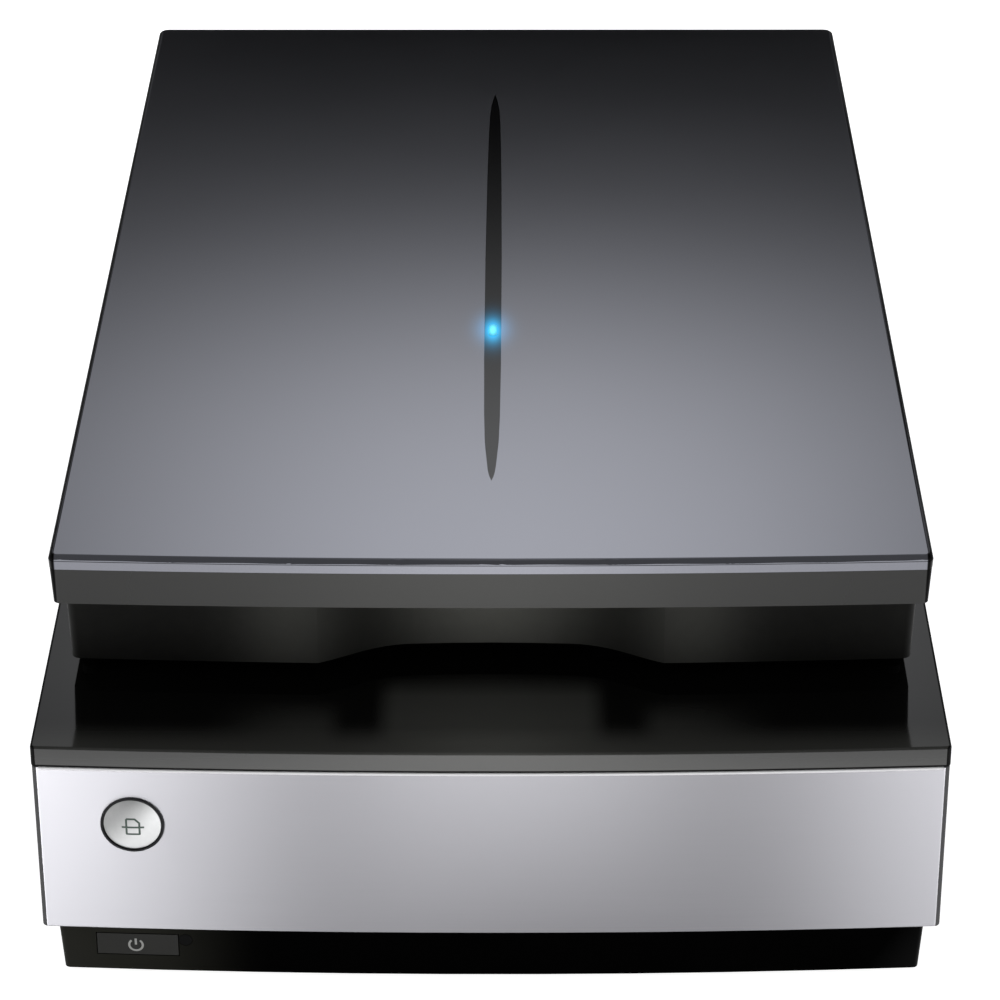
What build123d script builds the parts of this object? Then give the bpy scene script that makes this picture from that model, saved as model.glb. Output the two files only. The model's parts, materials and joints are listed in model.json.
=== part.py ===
"""Flatbed film and photo scanner: a deep base with a glass bed, and a thick hinged lid with its own lamp.

Frame: millimetres, +X to the operator's right, -Y towards the operator, +Z up.
The origin is the centre of the bottom of the whole scanner, on the surface that it stands on.
"""

import math
import os

from build123d import *

# ---- overall sizes ----
WIDTH = 308.0
DEPTH = 503.0
HEIGHT = 152.0
FRONT_Y = -DEPTH / 2
BACK_Y = DEPTH / 2
BASE_BACK_Y = 242.0
FRONT_BOW = 4.04
WALL = 2.5
SEAM = 0.2

# ---- levels of the base ----
CASE_BOTTOM = 3.0
SKIRT_TOP = 24.0
PANEL_TOP = 89.4
DECK_UNDERSIDE = 94.15
DECK_TOP = 97.15
FLOOR_TOP = CASE_BOTTOM + WALL

# ---- skirt below the front panel ----
SKIRT_WIDTH = 295.8
SKIRT_TOP_WIDTH = 298.4
SKIRT_SETBACK = 4.9
SKIRT_BOW = 4.2

# ---- fastenings, feet and rear sockets of the base ----
CASE_SCREWS = [(x, y) for x in (-110.0, 110.0) for y in (-194.0, 205.0)]
FEET = [(x, y) for x in (-125.0, 125.0) for y in (-215.0, 212.0)]
SOCKET_Z = 42.0
SOCKETS = {
    "lid_unit_socket": (10.0, 20.0, 12.0),
    "usb_socket": (48.0, 13.0, 12.0),
    "power_inlet": (82.0, 14.0, 14.0),
}
MAIN_BOARD_Y = 229.0
MAIN_BOARD_SCREWS = (-60.0, 88.0)
MAIN_BOARD_SCREW_Z = 56.0
LOCK_X = -85.0
LOCK_Z = 42.0

# ---- glass bed ----
GLASS_HALF_WIDTH = 116.0
GLASS_FRONT = -162.0
GLASS_BACK = 168.0
WINDOW_INSET = 4.0
GLASS_THICK = 2.8
TAPE_THICK = 0.2

# ---- front controls ----
START_X = -120.8
START_Z = 67.5
START_CAP_RADIUS = 9.7
START_RING_RADIUS = 10.8
START_SPIGOT_RADIUS = 10.35
START_TRAVEL = 1.2
POWER_X = -122.0
POWER_Z = 13.9
POWER_SIZE = (28.0, 8.7)
POWER_TRAVEL = 0.8
INDICATOR_X = -105.4
INDICATOR_Z = 16.2
SWITCH_FACE_Y = -235.0
PANEL_BOARD_Y = -230.0
PANEL_BOARD_SCREWS = (-140.0, -100.0)
PANEL_BOARD_SCREW_Z = 45.0

# ---- scan drive ----
ROD_X = -130.0
ROD_Z = 40.0
ROD_RADIUS = 4.0
ROD_END = 214.0
ROD_POST_Y = 208.0
RAIL_TOP = 34.4
BELT_X = 30.0
DRIVE_Y = -212.0
IDLER_Y = 208.0
BELT_INNER = 7.0
BELT_THICK = 1.2
BELT_BOTTOM = 10.5
BELT_TOP = 15.5
GEAR_MODULE = 1.0
GEAR_TEETH = 36
PINION_TEETH = 14
GEAR_DISTANCE = GEAR_MODULE * (GEAR_TEETH + PINION_TEETH) / 2
MOTOR_X = BELT_X + GEAR_DISTANCE
BRACKET_Z = 24.0
SHEET = 1.6

# ---- scan carriage, at its home place by the hinges ----
CARRIAGE_Y = 150.0
CARRIAGE_HALF_WIDTH = 118.0
CARRIAGE_HALF_LENGTH = 36.0
CARRIAGE_BOTTOM = 24.0
CARRIAGE_TOP = 84.0
MIRROR_PLACES = ((0.0, 34.0, 40.0), (-27.0, 41.0, 78.0), (-27.0, 68.0, 100.0), (24.0, 77.0, 20.0))

# ---- lid ----
LID_TOP_WIDTH = 296.4
LID_RIM_WIDTH = 294.7
LID_FRONT = -218.4
LID_BOW = 3.2
RIM_BOTTOM = 133.3
LID_INNER_TOP = HEIGHT - WALL
FRAME_BOTTOM = 103.6
FRAME_FLOOR = FRAME_BOTTOM + 2.0
FRAME_TOP = 135.3
FRAME_WIDTH = 288.2
FRAME_TOP_WIDTH = 290.4
FRAME_FRONT = -205.0
FRAME_BACK = 236.0
RECESS_HALF = 27.0
RECESS_MOUTH_HALF = 61.0
RECESS_DEPTH = 13.5
RECESS_CROWN = 0.8
POCKET_HALF = 16.0
POCKET_FRONT = 201.0
POCKET_TOP = 121.3
LID_SCREWS = [(x, y) for x in (-139.0, 0.0, 139.0) for y in (-207.0, 243.0)]
LID_BOARD_HOLES = [(x, y) for x in (-90.0, -40.0) for y in (183.0, 217.0)]

# ---- hinges ----
AXIS_Y = 243.0
AXIS_Z = 107.0
HINGE_X = 118.0
PIN_RADIUS = 2.5
LEG_FRONT = 226.0
LEG_BACK = 236.0
LEG_HALF_WIDTH = 13.0
LEG_BOTTOM = 45.0
LEG_GAP = 0.4
KNUCKLE_HALF = 6.0
EAR_GAP = 0.3
EAR_THICK = 5.0

# ---- lid lamp drive ----
LAMP_Y = CARRIAGE_Y
LAMP_HALF_WIDTH = 115.0
LID_ROD_X = -128.0
LID_ROD_Z = 125.0
LID_ROD_RADIUS = 3.0
LID_BELT_X = 124.0
LID_BELT_INNER = 5.5
LID_BELT_THICK = 1.0
LID_MOTOR_Y = 185.0
LID_IDLER_Y = -178.0

# ---- document mat under the lid ----
MAT_HALF_WIDTH = 117.7
MAT_FRONT = -180.0
MAT_BACK = 192.0
MAT_BOTTOM = 98.6
MAT_TOP = 103.2

# ---- spindle groove in the lid's top ----
GROOVE_FRONT = -162.7
GROOVE_BACK = 177.0
GROOVE_WIDTH = 6.0
# how wide the groove is along its length: (share of the length from the front, share of the width)
GROOVE_PROFILE = [
    (0.0, 0.0),
    (0.012, 0.28),
    (0.04, 0.53),
    (0.075, 0.73),
    (0.12, 0.86),
    (0.19, 0.94),
    (0.34, 1.0),
    (0.6, 0.98),
    (0.8, 0.86),
    (0.9, 0.74),
    (0.955, 0.55),
    (1.0, 0.0),
]
LIGHT_Y = -45.4
LIGHT_SIZE = (3.0, 9.0)


# ---- shared shapes ----
def block(x0, x1, y0, y1, z0, z1):
    """A box given by its six faces."""
    middle = Pos((x0 + x1) / 2, (y0 + y1) / 2, (z0 + z1) / 2)
    return middle * Box(x1 - x0, y1 - y0, z1 - z0)


def post(x, y, radius, z0, z1):
    """An upright round bar."""
    return Pos(x, y, (z0 + z1) / 2) * Cylinder(radius, z1 - z0)


def bar_y(x, z, radius, y0, y1):
    """A round bar along Y."""
    return Pos(x, (y0 + y1) / 2, z) * Rot(90, 0, 0) * Cylinder(radius, y1 - y0)


def bar_x(y, z, radius, x0, x1):
    """A round bar along X."""
    return Pos((x0 + x1) / 2, y, z) * Rot(0, 90, 0) * Cylinder(radius, x1 - x0)


def bowed_plan(width, front, bow, back, front_corner=2.0, back_corner=6.0):
    """A rectangle in plan whose front edge bulges forward by bow at its middle."""
    half = width / 2
    front_edge = ThreePointArc((-half, front + bow), (0, front), (half, front + bow))
    rest = Polyline((half, front + bow), (half, back), (-half, back), (-half, front + bow))
    face = make_face([front_edge, *rest.edges()])
    middle_y = (front + back) / 2
    fronts = [v for v in face.vertices() if v.Y < middle_y]
    face = fillet(fronts, front_corner)
    backs = [v for v in face.vertices() if v.Y > middle_y and abs(v.Y - back) < 0.01]
    return fillet(backs, back_corner)


def slab(face, z0, z1):
    """A plan shape raised from z0 to z1."""
    return extrude(Pos(0, 0, z0) * face, z1 - z0)


def drafted(low_face, z0, high_face, z1):
    """A body whose sides lean from one plan to another."""
    return loft([Pos(0, 0, z0) * low_face, Pos(0, 0, z1) * high_face], ruled=True)


def bow_depth(x, half_width, bow):
    """How far a bowed front edge falls back at x from its middle."""
    radius = (half_width**2 + bow**2) / (2 * bow)
    return radius - math.sqrt(radius**2 - x**2)


def panel_frame(x, z):
    """A workplane on the front panel's outside, its z axis pointing out towards the operator."""
    half = WIDTH / 2
    radius = (half**2 + FRONT_BOW**2) / (2 * FRONT_BOW)
    lean = math.asin(x / radius)
    out = (math.sin(lean), -math.cos(lean), 0)
    along = (math.cos(lean), math.sin(lean), 0)
    return Plane(origin=(x, FRONT_Y + bow_depth(x, half, FRONT_BOW), z), x_dir=along, z_dir=out)


def on_panel(x, z, radius, inner, outer):
    """A round bar square to the front panel, from depth inner to depth outer (outside is positive)."""
    return panel_frame(x, z) * Pos(0, 0, (inner + outer) / 2) * Cylinder(radius, outer - inner)


def pcb_plate(x0, x1, y0, y1, z0, z1, holes):
    """A circuit board with screw holes, given as bars to cut away."""
    board = block(x0, x1, y0, y1, z0, z1)
    for hole in holes:
        board -= hole
    return board


def belt_loop(x, y0, y1, inner, thick, z0, z1):
    """A flat belt around two pulleys of the same size, y0 and y1 being their axes."""
    length = y1 - y0
    middle = Pos(x, (y0 + y1) / 2, z0)
    outside = SlotCenterToCenter(length, 2 * (inner + thick), rotation=90)
    inside = SlotCenterToCenter(length, 2 * inner, rotation=90)
    return extrude(middle * (outside - inside), z1 - z0)


def involute(angle):
    """The involute function of a pressure angle."""
    return math.tan(angle) - angle


def gear(teeth, z0, z1, first_angle, bore):
    """A spur gear about the origin, thinned a little so that it runs free."""
    pitch = GEAR_MODULE * teeth / 2
    base = pitch * math.cos(math.radians(20))
    tip = pitch + 0.9 * GEAR_MODULE
    root = pitch - 1.2 * GEAR_MODULE
    thinning = 0.08 / pitch
    half_at_pitch = math.pi / (2 * teeth) - thinning
    flank = []
    for step in range(4):
        radius = max(base, root) + (tip - max(base, root)) * step / 3
        turn = half_at_pitch + involute(math.radians(20)) - involute(math.acos(base / radius))
        flank.append((radius, turn))
    if root < base:
        flank.insert(0, (root, flank[0][1]))
    points = []
    for tooth in range(teeth):
        centre = first_angle + 2 * math.pi * tooth / teeth
        rising = [(r, centre - turn) for r, turn in flank]
        falling = [(r, centre + turn) for r, turn in reversed(flank)]
        points += [(r * math.cos(a), r * math.sin(a)) for r, a in rising + falling]
    face = make_face(Polyline(*points, close=True))
    return extrude(Pos(0, 0, z0) * face, z1 - z0) - post(0, 0, bore, z0 - 1, z1 + 1)


def screw_down(x, y, z_seat, length, radius=1.5):
    """A pan-head screw driven downwards, its head sitting on z_seat."""
    head = post(x, y, 2 * radius, z_seat, z_seat + 1.8)
    recess = post(x, y, 0.8 * radius, z_seat + 0.9, z_seat + 2)
    return head - recess + post(x, y, radius, z_seat - length, z_seat)


def screw_up(x, y, z_seat, length, radius=1.5):
    """A pan-head screw driven upwards, its head below z_seat."""
    head = post(x, y, 2 * radius, z_seat - 1.8, z_seat)
    recess = post(x, y, 0.8 * radius, z_seat - 2, z_seat - 0.9)
    return head - recess + post(x, y, radius, z_seat, z_seat + length)


def group(pieces):
    """Several separate solids kept as one node."""
    return Compound(children=list(pieces))


# ---- base casing ----
def skirt_body():
    """The leaning outside of the skirt, solid."""
    front = FRONT_Y + SKIRT_SETBACK
    low = bowed_plan(SKIRT_WIDTH, front + 0.6, SKIRT_BOW, 236.0)
    high = bowed_plan(SKIRT_TOP_WIDTH, front, SKIRT_BOW, 237.0)
    return drafted(low, CASE_BOTTOM, high, SKIRT_TOP)


def power_zone(grow, y0, y1):
    """The box that the power button fills, grown all round."""
    half_x = POWER_SIZE[0] / 2 + grow
    half_z = POWER_SIZE[1] / 2 + grow
    return block(POWER_X - half_x, POWER_X + half_x, y0, y1, POWER_Z - half_z, POWER_Z + half_z)


def lower_case():
    """The black tub: floor, skirt, side and rear walls, and the posts that carry the mechanism."""
    panel_back = FRONT_Y + WALL + SEAM
    inner_width = WIDTH - 2 * WALL - 1.4
    walls = slab(bowed_plan(inner_width, panel_back, FRONT_BOW, -236.0, 3.2, 1.0), SKIRT_TOP, PANEL_TOP)
    rear = Pos(0, (BASE_BACK_Y - 242.8) / 2, 0) * RectangleRounded(WIDTH - 1.0, BASE_BACK_Y + 242.8, 0.8)
    walls += slab(rear, SKIRT_TOP, PANEL_TOP)
    case = skirt_body() + walls
    case -= slab(
        bowed_plan(SKIRT_WIDTH - 2 * WALL, FRONT_Y + SKIRT_SETBACK + WALL + 0.6, SKIRT_BOW, 233.5),
        FLOOR_TOP, SKIRT_TOP + WALL,
    )
    case -= slab(
        bowed_plan(inner_width - 2 * WALL, panel_back + WALL, FRONT_BOW, BASE_BACK_Y - WALL),
        SKIRT_TOP + WALL, PANEL_TOP + 1,
    )
    # rod posts, rail rib, pin bosses
    for side in (-1, 1):
        y = side * ROD_POST_Y
        saddle = block(ROD_X - 12, ROD_X + 12, y - 4, y + 4, FLOOR_TOP - 0.5, ROD_Z)
        case += saddle - bar_y(ROD_X, ROD_Z, ROD_RADIUS + 0.05, y - 5, y + 5)
        for offset in (-8.5, 8.5):
            case -= post(ROD_X + offset, y, 1.55, ROD_Z - 10, ROD_Z + 1)
    case += block(130, 132, -205, 205, FLOOR_TOP - 0.5, RAIL_TOP - 2)
    for y in (DRIVE_Y, IDLER_Y):
        case += post(BELT_X, y, 5, FLOOR_TOP - 0.5, BELT_BOTTOM - 2)
        case -= post(BELT_X, y, 2.0, CASE_BOTTOM + 1.5, BELT_BOTTOM)
    # tall bosses for the four long screws
    for x, y in CASE_SCREWS:
        case += post(x, y, 5, FLOOR_TOP - 0.5, 84)
        case -= post(x, y, 3.4, CASE_BOTTOM - 1, 76)
        case -= post(x, y, 1.7, 70, 90)
    # bosses that carry the panel board and the main board
    z = PANEL_BOARD_SCREW_Z
    for x in PANEL_BOARD_SCREWS:
        case += bar_y(x, z, 3.2, -244.2, PANEL_BOARD_Y) - bar_y(x, z, 1.25, -238, PANEL_BOARD_Y + 1)
    z = MAIN_BOARD_SCREW_Z
    for x in MAIN_BOARD_SCREWS:
        case += bar_y(x, z, 3.2, MAIN_BOARD_Y + SHEET, BASE_BACK_Y - 1)
        case -= bar_y(x, z, 1.25, MAIN_BOARD_Y, 238)
    # feet, button and indicator openings
    for x, y in FEET:
        case -= post(x, y, 8.2, CASE_BOTTOM - 1, CASE_BOTTOM + 1)
    case -= power_zone(0.35, -252, -238)
    case -= bar_y(INDICATOR_X, INDICATOR_Z, 2.45, -250, -238)
    case -= on_panel(START_X, START_Z, 11.4, -8, 1)
    # rear openings: sockets, transport lock slot, vents
    for x, width, height in SOCKETS.values():
        case -= block(x - width / 2 - 0.2, x + width / 2 + 0.2, 238, 245,
                      SOCKET_Z - height / 2 - 0.2, SOCKET_Z + height / 2 + 0.2)
    case -= block(LOCK_X - 10.5, LOCK_X + 10.5, 238, 245, LOCK_Z - 3.3, LOCK_Z + 3.3)
    for index in range(10):
        x = -40 + index * 9
        case -= block(x, x + 4, 238, 245, 66, 80)
    return case


def upper_frame():
    """The dark deck: a shallow frame around the glass, with two wells for the hinge legs."""
    outer = slab(bowed_plan(WIDTH, FRONT_Y, FRONT_BOW, BASE_BACK_Y), PANEL_TOP + SEAM, DECK_TOP)
    outer = fillet(outer.faces().sort_by(Axis.Z)[-1].edges(), 0.9)
    inner = bowed_plan(WIDTH - 2 * WALL, FRONT_Y + WALL, FRONT_BOW, BASE_BACK_Y - WALL)
    deck = outer - slab(inner, PANEL_TOP, DECK_UNDERSIDE)
    seat = GLASS_HALF_WIDTH + 4
    deck += block(-seat, seat, GLASS_FRONT - 4, GLASS_BACK + 4, 91.5, DECK_UNDERSIDE + 0.5)
    window = GLASS_HALF_WIDTH - WINDOW_INSET
    deck -= block(-window, window, GLASS_FRONT + WINDOW_INSET, GLASS_BACK - WINDOW_INSET, 90, 100)
    gap = 0.25
    deck -= block(-GLASS_HALF_WIDTH - gap, GLASS_HALF_WIDTH + gap, GLASS_FRONT - gap, GLASS_BACK + gap,
                  DECK_TOP - GLASS_THICK - TAPE_THICK - 0.05, 100)
    for x, y in CASE_SCREWS:
        deck += post(x, y, 4.5, 84 + SEAM, DECK_UNDERSIDE + 0.5)
        deck -= post(x, y, 1.55, 80, 93)
    for side in (-1, 1):
        x = side * HINGE_X
        half = LEG_HALF_WIDTH + LEG_GAP
        deck += block(x - half - 2, x + half + 2, LEG_FRONT - LEG_GAP - 2, LEG_BACK + LEG_GAP + 2,
                      LEG_BOTTOM - 2.5, DECK_UNDERSIDE + 0.5)
        deck -= block(x - half, x + half, LEG_FRONT - LEG_GAP, LEG_BACK + LEG_GAP, LEG_BOTTOM, 100)
    return deck


def front_panel():
    """The silver front: a thin bowed plate with short returns at both ends."""
    outer = slab(bowed_plan(WIDTH - 0.4, FRONT_Y, FRONT_BOW, -200.0), SKIRT_TOP + SEAM, PANEL_TOP)
    edges = outer.faces().sort_by(Axis.Z)[-1].edges() + outer.faces().sort_by(Axis.Z)[0].edges()
    outer = fillet(edges, 0.6)
    inner = bowed_plan(WIDTH - 0.4 - 2 * WALL, FRONT_Y + WALL, FRONT_BOW, -190.0)
    panel = outer - slab(inner, SKIRT_TOP - 1, PANEL_TOP + 1)
    panel -= block(-160, 160, -243, -150, SKIRT_TOP - 1, PANEL_TOP + 1)
    return panel - on_panel(START_X, START_Z, START_SPIGOT_RADIUS + 0.15, -8, 2)


def start_button_ring():
    """The dark ring around the start button, with a spigot through the panel."""
    flange = on_panel(START_X, START_Z, START_RING_RADIUS, 0.12, 0.9)
    flange = fillet(flange.edges().filter_by(GeomType.CIRCLE), 0.2)
    ring = flange + on_panel(START_X, START_Z, START_SPIGOT_RADIUS, -6, 0.5)
    return ring - on_panel(START_X, START_Z, START_CAP_RADIUS + 0.3, -8, 2)


def start_button():
    """The round start button: a domed cap on a stem."""
    frame = panel_frame(START_X, START_Z)
    dome_radius = 34.0
    dome = frame * Pos(0, 0, 1.9 - dome_radius) * Sphere(dome_radius)
    cap = on_panel(START_X, START_Z, START_CAP_RADIUS, -4, 3) & dome
    flange = on_panel(START_X, START_Z, START_CAP_RADIUS + 1.0, -8.2, -6.6)
    stem_end = -(SWITCH_FACE_Y - frame.origin.Y) + START_TRAVEL + 0.3
    stem = on_panel(START_X, START_Z, 3, stem_end, -3)
    return cap + on_panel(START_X, START_Z, START_CAP_RADIUS - 1, -8, -3) + flange + stem


def power_button():
    """The wide power key, flush with the leaning skirt."""
    face = skirt_body() & power_zone(0, -250, -239.2)
    flange = block(POWER_X - 15.3, POWER_X + 13.5, -239.4, -238.4, POWER_Z - 5.6, POWER_Z + 5.6)
    stem = block(POWER_X - 3, POWER_X + 3, -240, SWITCH_FACE_Y - POWER_TRAVEL - 0.3, POWER_Z - 2, POWER_Z + 2)
    return face + flange + stem


def power_indicator():
    """The small round light beside the power key."""
    lens = skirt_body() & bar_y(INDICATOR_X, INDICATOR_Z, 2.3, -250, -238)
    return lens + bar_y(INDICATOR_X, INDICATOR_Z, 1.4, -239, PANEL_BOARD_Y)


def panel_board():
    """The upright board behind the front panel, with one small push switch behind each button."""
    holes = [bar_y(x, PANEL_BOARD_SCREW_Z, 1.6, -240, -220) for x in PANEL_BOARD_SCREWS]
    pieces = [pcb_plate(-145, -95, PANEL_BOARD_Y, PANEL_BOARD_Y + SHEET, 8, 76, holes)]
    for x, z in ((START_X, START_Z), (POWER_X, POWER_Z)):
        body = block(x - 3, x + 3, PANEL_BOARD_Y - 3.5, PANEL_BOARD_Y, z - 3, z + 3)
        pieces.append(body + bar_y(x, z, 1.75, SWITCH_FACE_Y, PANEL_BOARD_Y - 3.4))
    return group(pieces)


def platen_glass():
    """The flat glass that originals lie on."""
    bottom = DECK_TOP - GLASS_THICK
    glass = block(-GLASS_HALF_WIDTH, GLASS_HALF_WIDTH, GLASS_FRONT, GLASS_BACK, bottom, DECK_TOP - 0.05)
    return chamfer(glass.edges().filter_by(Axis.Z), 1.5)


def glass_tape():
    """The thin ring of tape that holds the glass in its seat."""
    top = DECK_TOP - GLASS_THICK
    ring = block(-GLASS_HALF_WIDTH, GLASS_HALF_WIDTH, GLASS_FRONT, GLASS_BACK, top - TAPE_THICK, top)
    window = GLASS_HALF_WIDTH - WINDOW_INSET
    return ring - block(-window, window, GLASS_FRONT + WINDOW_INSET, GLASS_BACK - WINDOW_INSET, 90, 100)


def calibration_strip():
    """The white reference strip under the glass, at the home end."""
    top = DECK_TOP - GLASS_THICK
    return block(-110, 110, GLASS_BACK - 14, GLASS_BACK - WINDOW_INSET - 0.5, top - 0.6, top)


def rubber_feet():
    """Four round feet in shallow recesses."""
    feet = []
    for x, y in FEET:
        foot = post(x, y, 8, 0, CASE_BOTTOM + 1)
        feet.append(fillet(foot.faces().sort_by(Axis.Z)[0].edges(), 0.8))
    return group(feet)


# ---- scan drive in the base ----
def guide_rod():
    """The ground steel rod that the carriage runs on."""
    return chamfer(bar_y(ROD_X, ROD_Z, ROD_RADIUS, -ROD_END, ROD_END).edges().filter_by(GeomType.CIRCLE), 0.5)


def rod_clamps():
    """Two clamps that hold the rod down on its posts."""
    clamps = []
    for side in (-1, 1):
        y = side * ROD_POST_Y
        clamp = block(ROD_X - 12, ROD_X + 12, y - 4, y + 4, ROD_Z + 0.1, ROD_Z + 7)
        clamp -= bar_y(ROD_X, ROD_Z, ROD_RADIUS + 0.05, y - 5, y + 5)
        for offset in (-8.5, 8.5):
            clamp -= post(ROD_X + offset, y, 1.7, ROD_Z, ROD_Z + 8)
        clamps.append(clamp)
    return group(clamps)


def slide_rail():
    """The flat steel rail under the carriage's other side."""
    return block(122, 140, -205, 205, RAIL_TOP - 2, RAIL_TOP)


def drive_motor():
    """The stepper motor, hanging above the bracket with its shaft bore facing down."""
    can = post(MOTOR_X, DRIVE_Y, 17.5, BRACKET_Z + SHEET, 48)
    can = fillet(can.edges().filter_by(GeomType.CIRCLE), 1.0)
    can += block(MOTOR_X - 5, MOTOR_X + 5, DRIVE_Y + 15, DRIVE_Y + 20, 30, 40)
    return can - post(MOTOR_X, DRIVE_Y, 2.05, BRACKET_Z - 1, 32)


def motor_bracket():
    """The bent steel bridge that carries the motor over its gears."""
    plate = block(6, 80, DRIVE_Y - 18, DRIVE_Y + 18, BRACKET_Z, BRACKET_Z + SHEET)
    for x in (6, 80 - SHEET):
        plate += block(x, x + SHEET, DRIVE_Y - 18, DRIVE_Y + 18, FLOOR_TOP, BRACKET_Z + 1)
    plate += block(-4, 7, DRIVE_Y - 18, DRIVE_Y + 18, FLOOR_TOP, FLOOR_TOP + SHEET)
    plate += block(79, 90, DRIVE_Y - 18, DRIVE_Y + 18, FLOOR_TOP, FLOOR_TOP + SHEET)
    plate -= post(MOTOR_X, DRIVE_Y, 5, BRACKET_Z - 1, BRACKET_Z + 3)
    plate -= post(BELT_X, DRIVE_Y, 2.05, BRACKET_Z - 1, BRACKET_Z + 3)
    plate -= block(5, 9, DRIVE_Y - 12, DRIVE_Y + 12, FLOOR_TOP + 4, 20)
    return plate


def motor_pinion():
    """The motor's shaft with its small gear, which has a gap facing the big gear."""
    pinion = Pos(MOTOR_X, DRIVE_Y, 0) * gear(PINION_TEETH, 17, 23, math.pi + math.pi / PINION_TEETH, 1.9)
    return pinion + post(MOTOR_X, DRIVE_Y, 2.0, 15, 31)


def toothless_pulley(x, y, groove, flange, z0, z1, bore):
    """A flanged belt pulley about an upright axis; z0 and z1 are its ends."""
    pulley = post(x, y, groove, z0, z1) + post(x, y, flange, z0, z0 + 0.9) + post(x, y, flange, z1 - 0.9, z1)
    return pulley - post(x, y, bore, z0 - 1, z1 + 1)


def drive_pulley(y):
    """One of the two pulleys of the drive belt."""
    groove = BELT_INNER - 0.3
    return toothless_pulley(BELT_X, y, groove, groove + 2.8, BELT_BOTTOM - 1.2, BELT_TOP + 1.2, 2.06)


def drive_gear():
    """The reduction gear and the belt pulley under it, one moulding that turns on a pin."""
    spin = Pos(BELT_X, DRIVE_Y, 0) * gear(GEAR_TEETH, 17.5, 22.5, 0, 2.06)
    pulley = drive_pulley(DRIVE_Y)
    hub = post(BELT_X, DRIVE_Y, 5, BELT_TOP + 1, 23.4) - post(BELT_X, DRIVE_Y, 2.06, 10, 24)
    return spin + pulley + hub


def idler_pulley():
    """The free pulley at the far end of the belt."""
    return drive_pulley(IDLER_Y)


def pulley_pins():
    """The two fixed pins that the drive gear and the idler turn on."""
    drive_pin = post(BELT_X, DRIVE_Y, 2.0, CASE_BOTTOM + 1.5, BRACKET_Z + SHEET + 0.5)
    idler_pin = post(BELT_X, IDLER_Y, 2.0, CASE_BOTTOM + 1.5, BELT_TOP + 2.4)
    clip = post(BELT_X, IDLER_Y, 3.4, BELT_TOP + 1.5, BELT_TOP + 2.2)
    return group([drive_pin, idler_pin + clip])


def drive_belt():
    """The belt that pulls the carriage."""
    return belt_loop(BELT_X, DRIVE_Y, IDLER_Y, BELT_INNER, BELT_THICK, BELT_BOTTOM, BELT_TOP)


def main_board():
    """The upright main board at the rear wall, with its processor, memory and capacitors."""
    holes = [bar_y(x, MAIN_BOARD_SCREW_Z, 1.6, 220, 240) for x in MAIN_BOARD_SCREWS]
    parts = [pcb_plate(-70, 96, MAIN_BOARD_Y, MAIN_BOARD_Y + SHEET, 14, 62, holes)]
    parts.append(block(-20, 8, MAIN_BOARD_Y - 2.2, MAIN_BOARD_Y, 24, 52))
    for index in range(2):
        x = -56 + index * 16
        parts.append(block(x, x + 10, MAIN_BOARD_Y - 1.2, MAIN_BOARD_Y, 26, 46))
    for index in range(3):
        parts.append(bar_y(66 + index * 11, 26, 4, MAIN_BOARD_Y - 10, MAIN_BOARD_Y))
    return group(parts)


def socket_block(x, width, height):
    """A socket's outside, from the board out through the wall."""
    half = height / 2
    y0 = MAIN_BOARD_Y + SHEET
    return block(x - width / 2, x + width / 2, y0, BASE_BACK_Y + 0.3, SOCKET_Z - half, SOCKET_Z + half)


def socket_shell(name, depth):
    """A socket's rectangular shell, open to the rear, from the board out through the wall."""
    x, width, height = SOCKETS[name]
    shell = socket_block(x, width, height)
    inner_x = width / 2 - 1.2
    inner_z = height / 2 - 1.2
    mouth_y = BASE_BACK_Y - depth
    return shell - block(x - inner_x, x + inner_x, mouth_y, 250, SOCKET_Z - inner_z, SOCKET_Z + inner_z)


def lid_unit_socket():
    """The wide socket for the lid's own lead, with two rows of contacts on a tongue."""
    x, width, _ = SOCKETS["lid_unit_socket"]
    tongue = block(x - width / 2 + 3, x + width / 2 - 3, 232, 237, SOCKET_Z - 1.4, SOCKET_Z + 1.4)
    return socket_shell("lid_unit_socket", 9) + tongue


def usb_socket():
    """The square socket of the data lead, with its tongue."""
    x = SOCKETS["usb_socket"][0]
    return socket_shell("usb_socket", 9) + block(x - 2.8, x + 2.8, 232, 237, SOCKET_Z - 1.5, SOCKET_Z + 1.5)


def power_inlet():
    """The round low-voltage inlet with its centre pin."""
    x, width, height = SOCKETS["power_inlet"]
    body = socket_block(x, width, height) - bar_y(x, SOCKET_Z, 5.2, 233, 250)
    return body + bar_y(x, SOCKET_Z, 1.0, 232, 238)


# ---- transport lock at the rear ----
def transport_lock():
    """The slider that pins the carriage for moving house: a ribbed thumb piece on an inner plate."""
    thumb = block(LOCK_X - 6, LOCK_X + 2, 239, BASE_BACK_Y + 2.2, LOCK_Z - 3, LOCK_Z + 3)
    for index in range(3):
        x = LOCK_X - 4.6 + index * 2.2
        thumb -= block(x, x + 0.8, BASE_BACK_Y + 1.6, BASE_BACK_Y + 3, LOCK_Z - 4, LOCK_Z + 4)
    plate = block(LOCK_X - 12, LOCK_X + 8, 236.6, 239.1, LOCK_Z - 5, LOCK_Z + 5)
    tongue = block(LOCK_X - 4, LOCK_X, 226, 237, LOCK_Z - 2, LOCK_Z + 2)
    return thumb + plate + tongue


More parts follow.
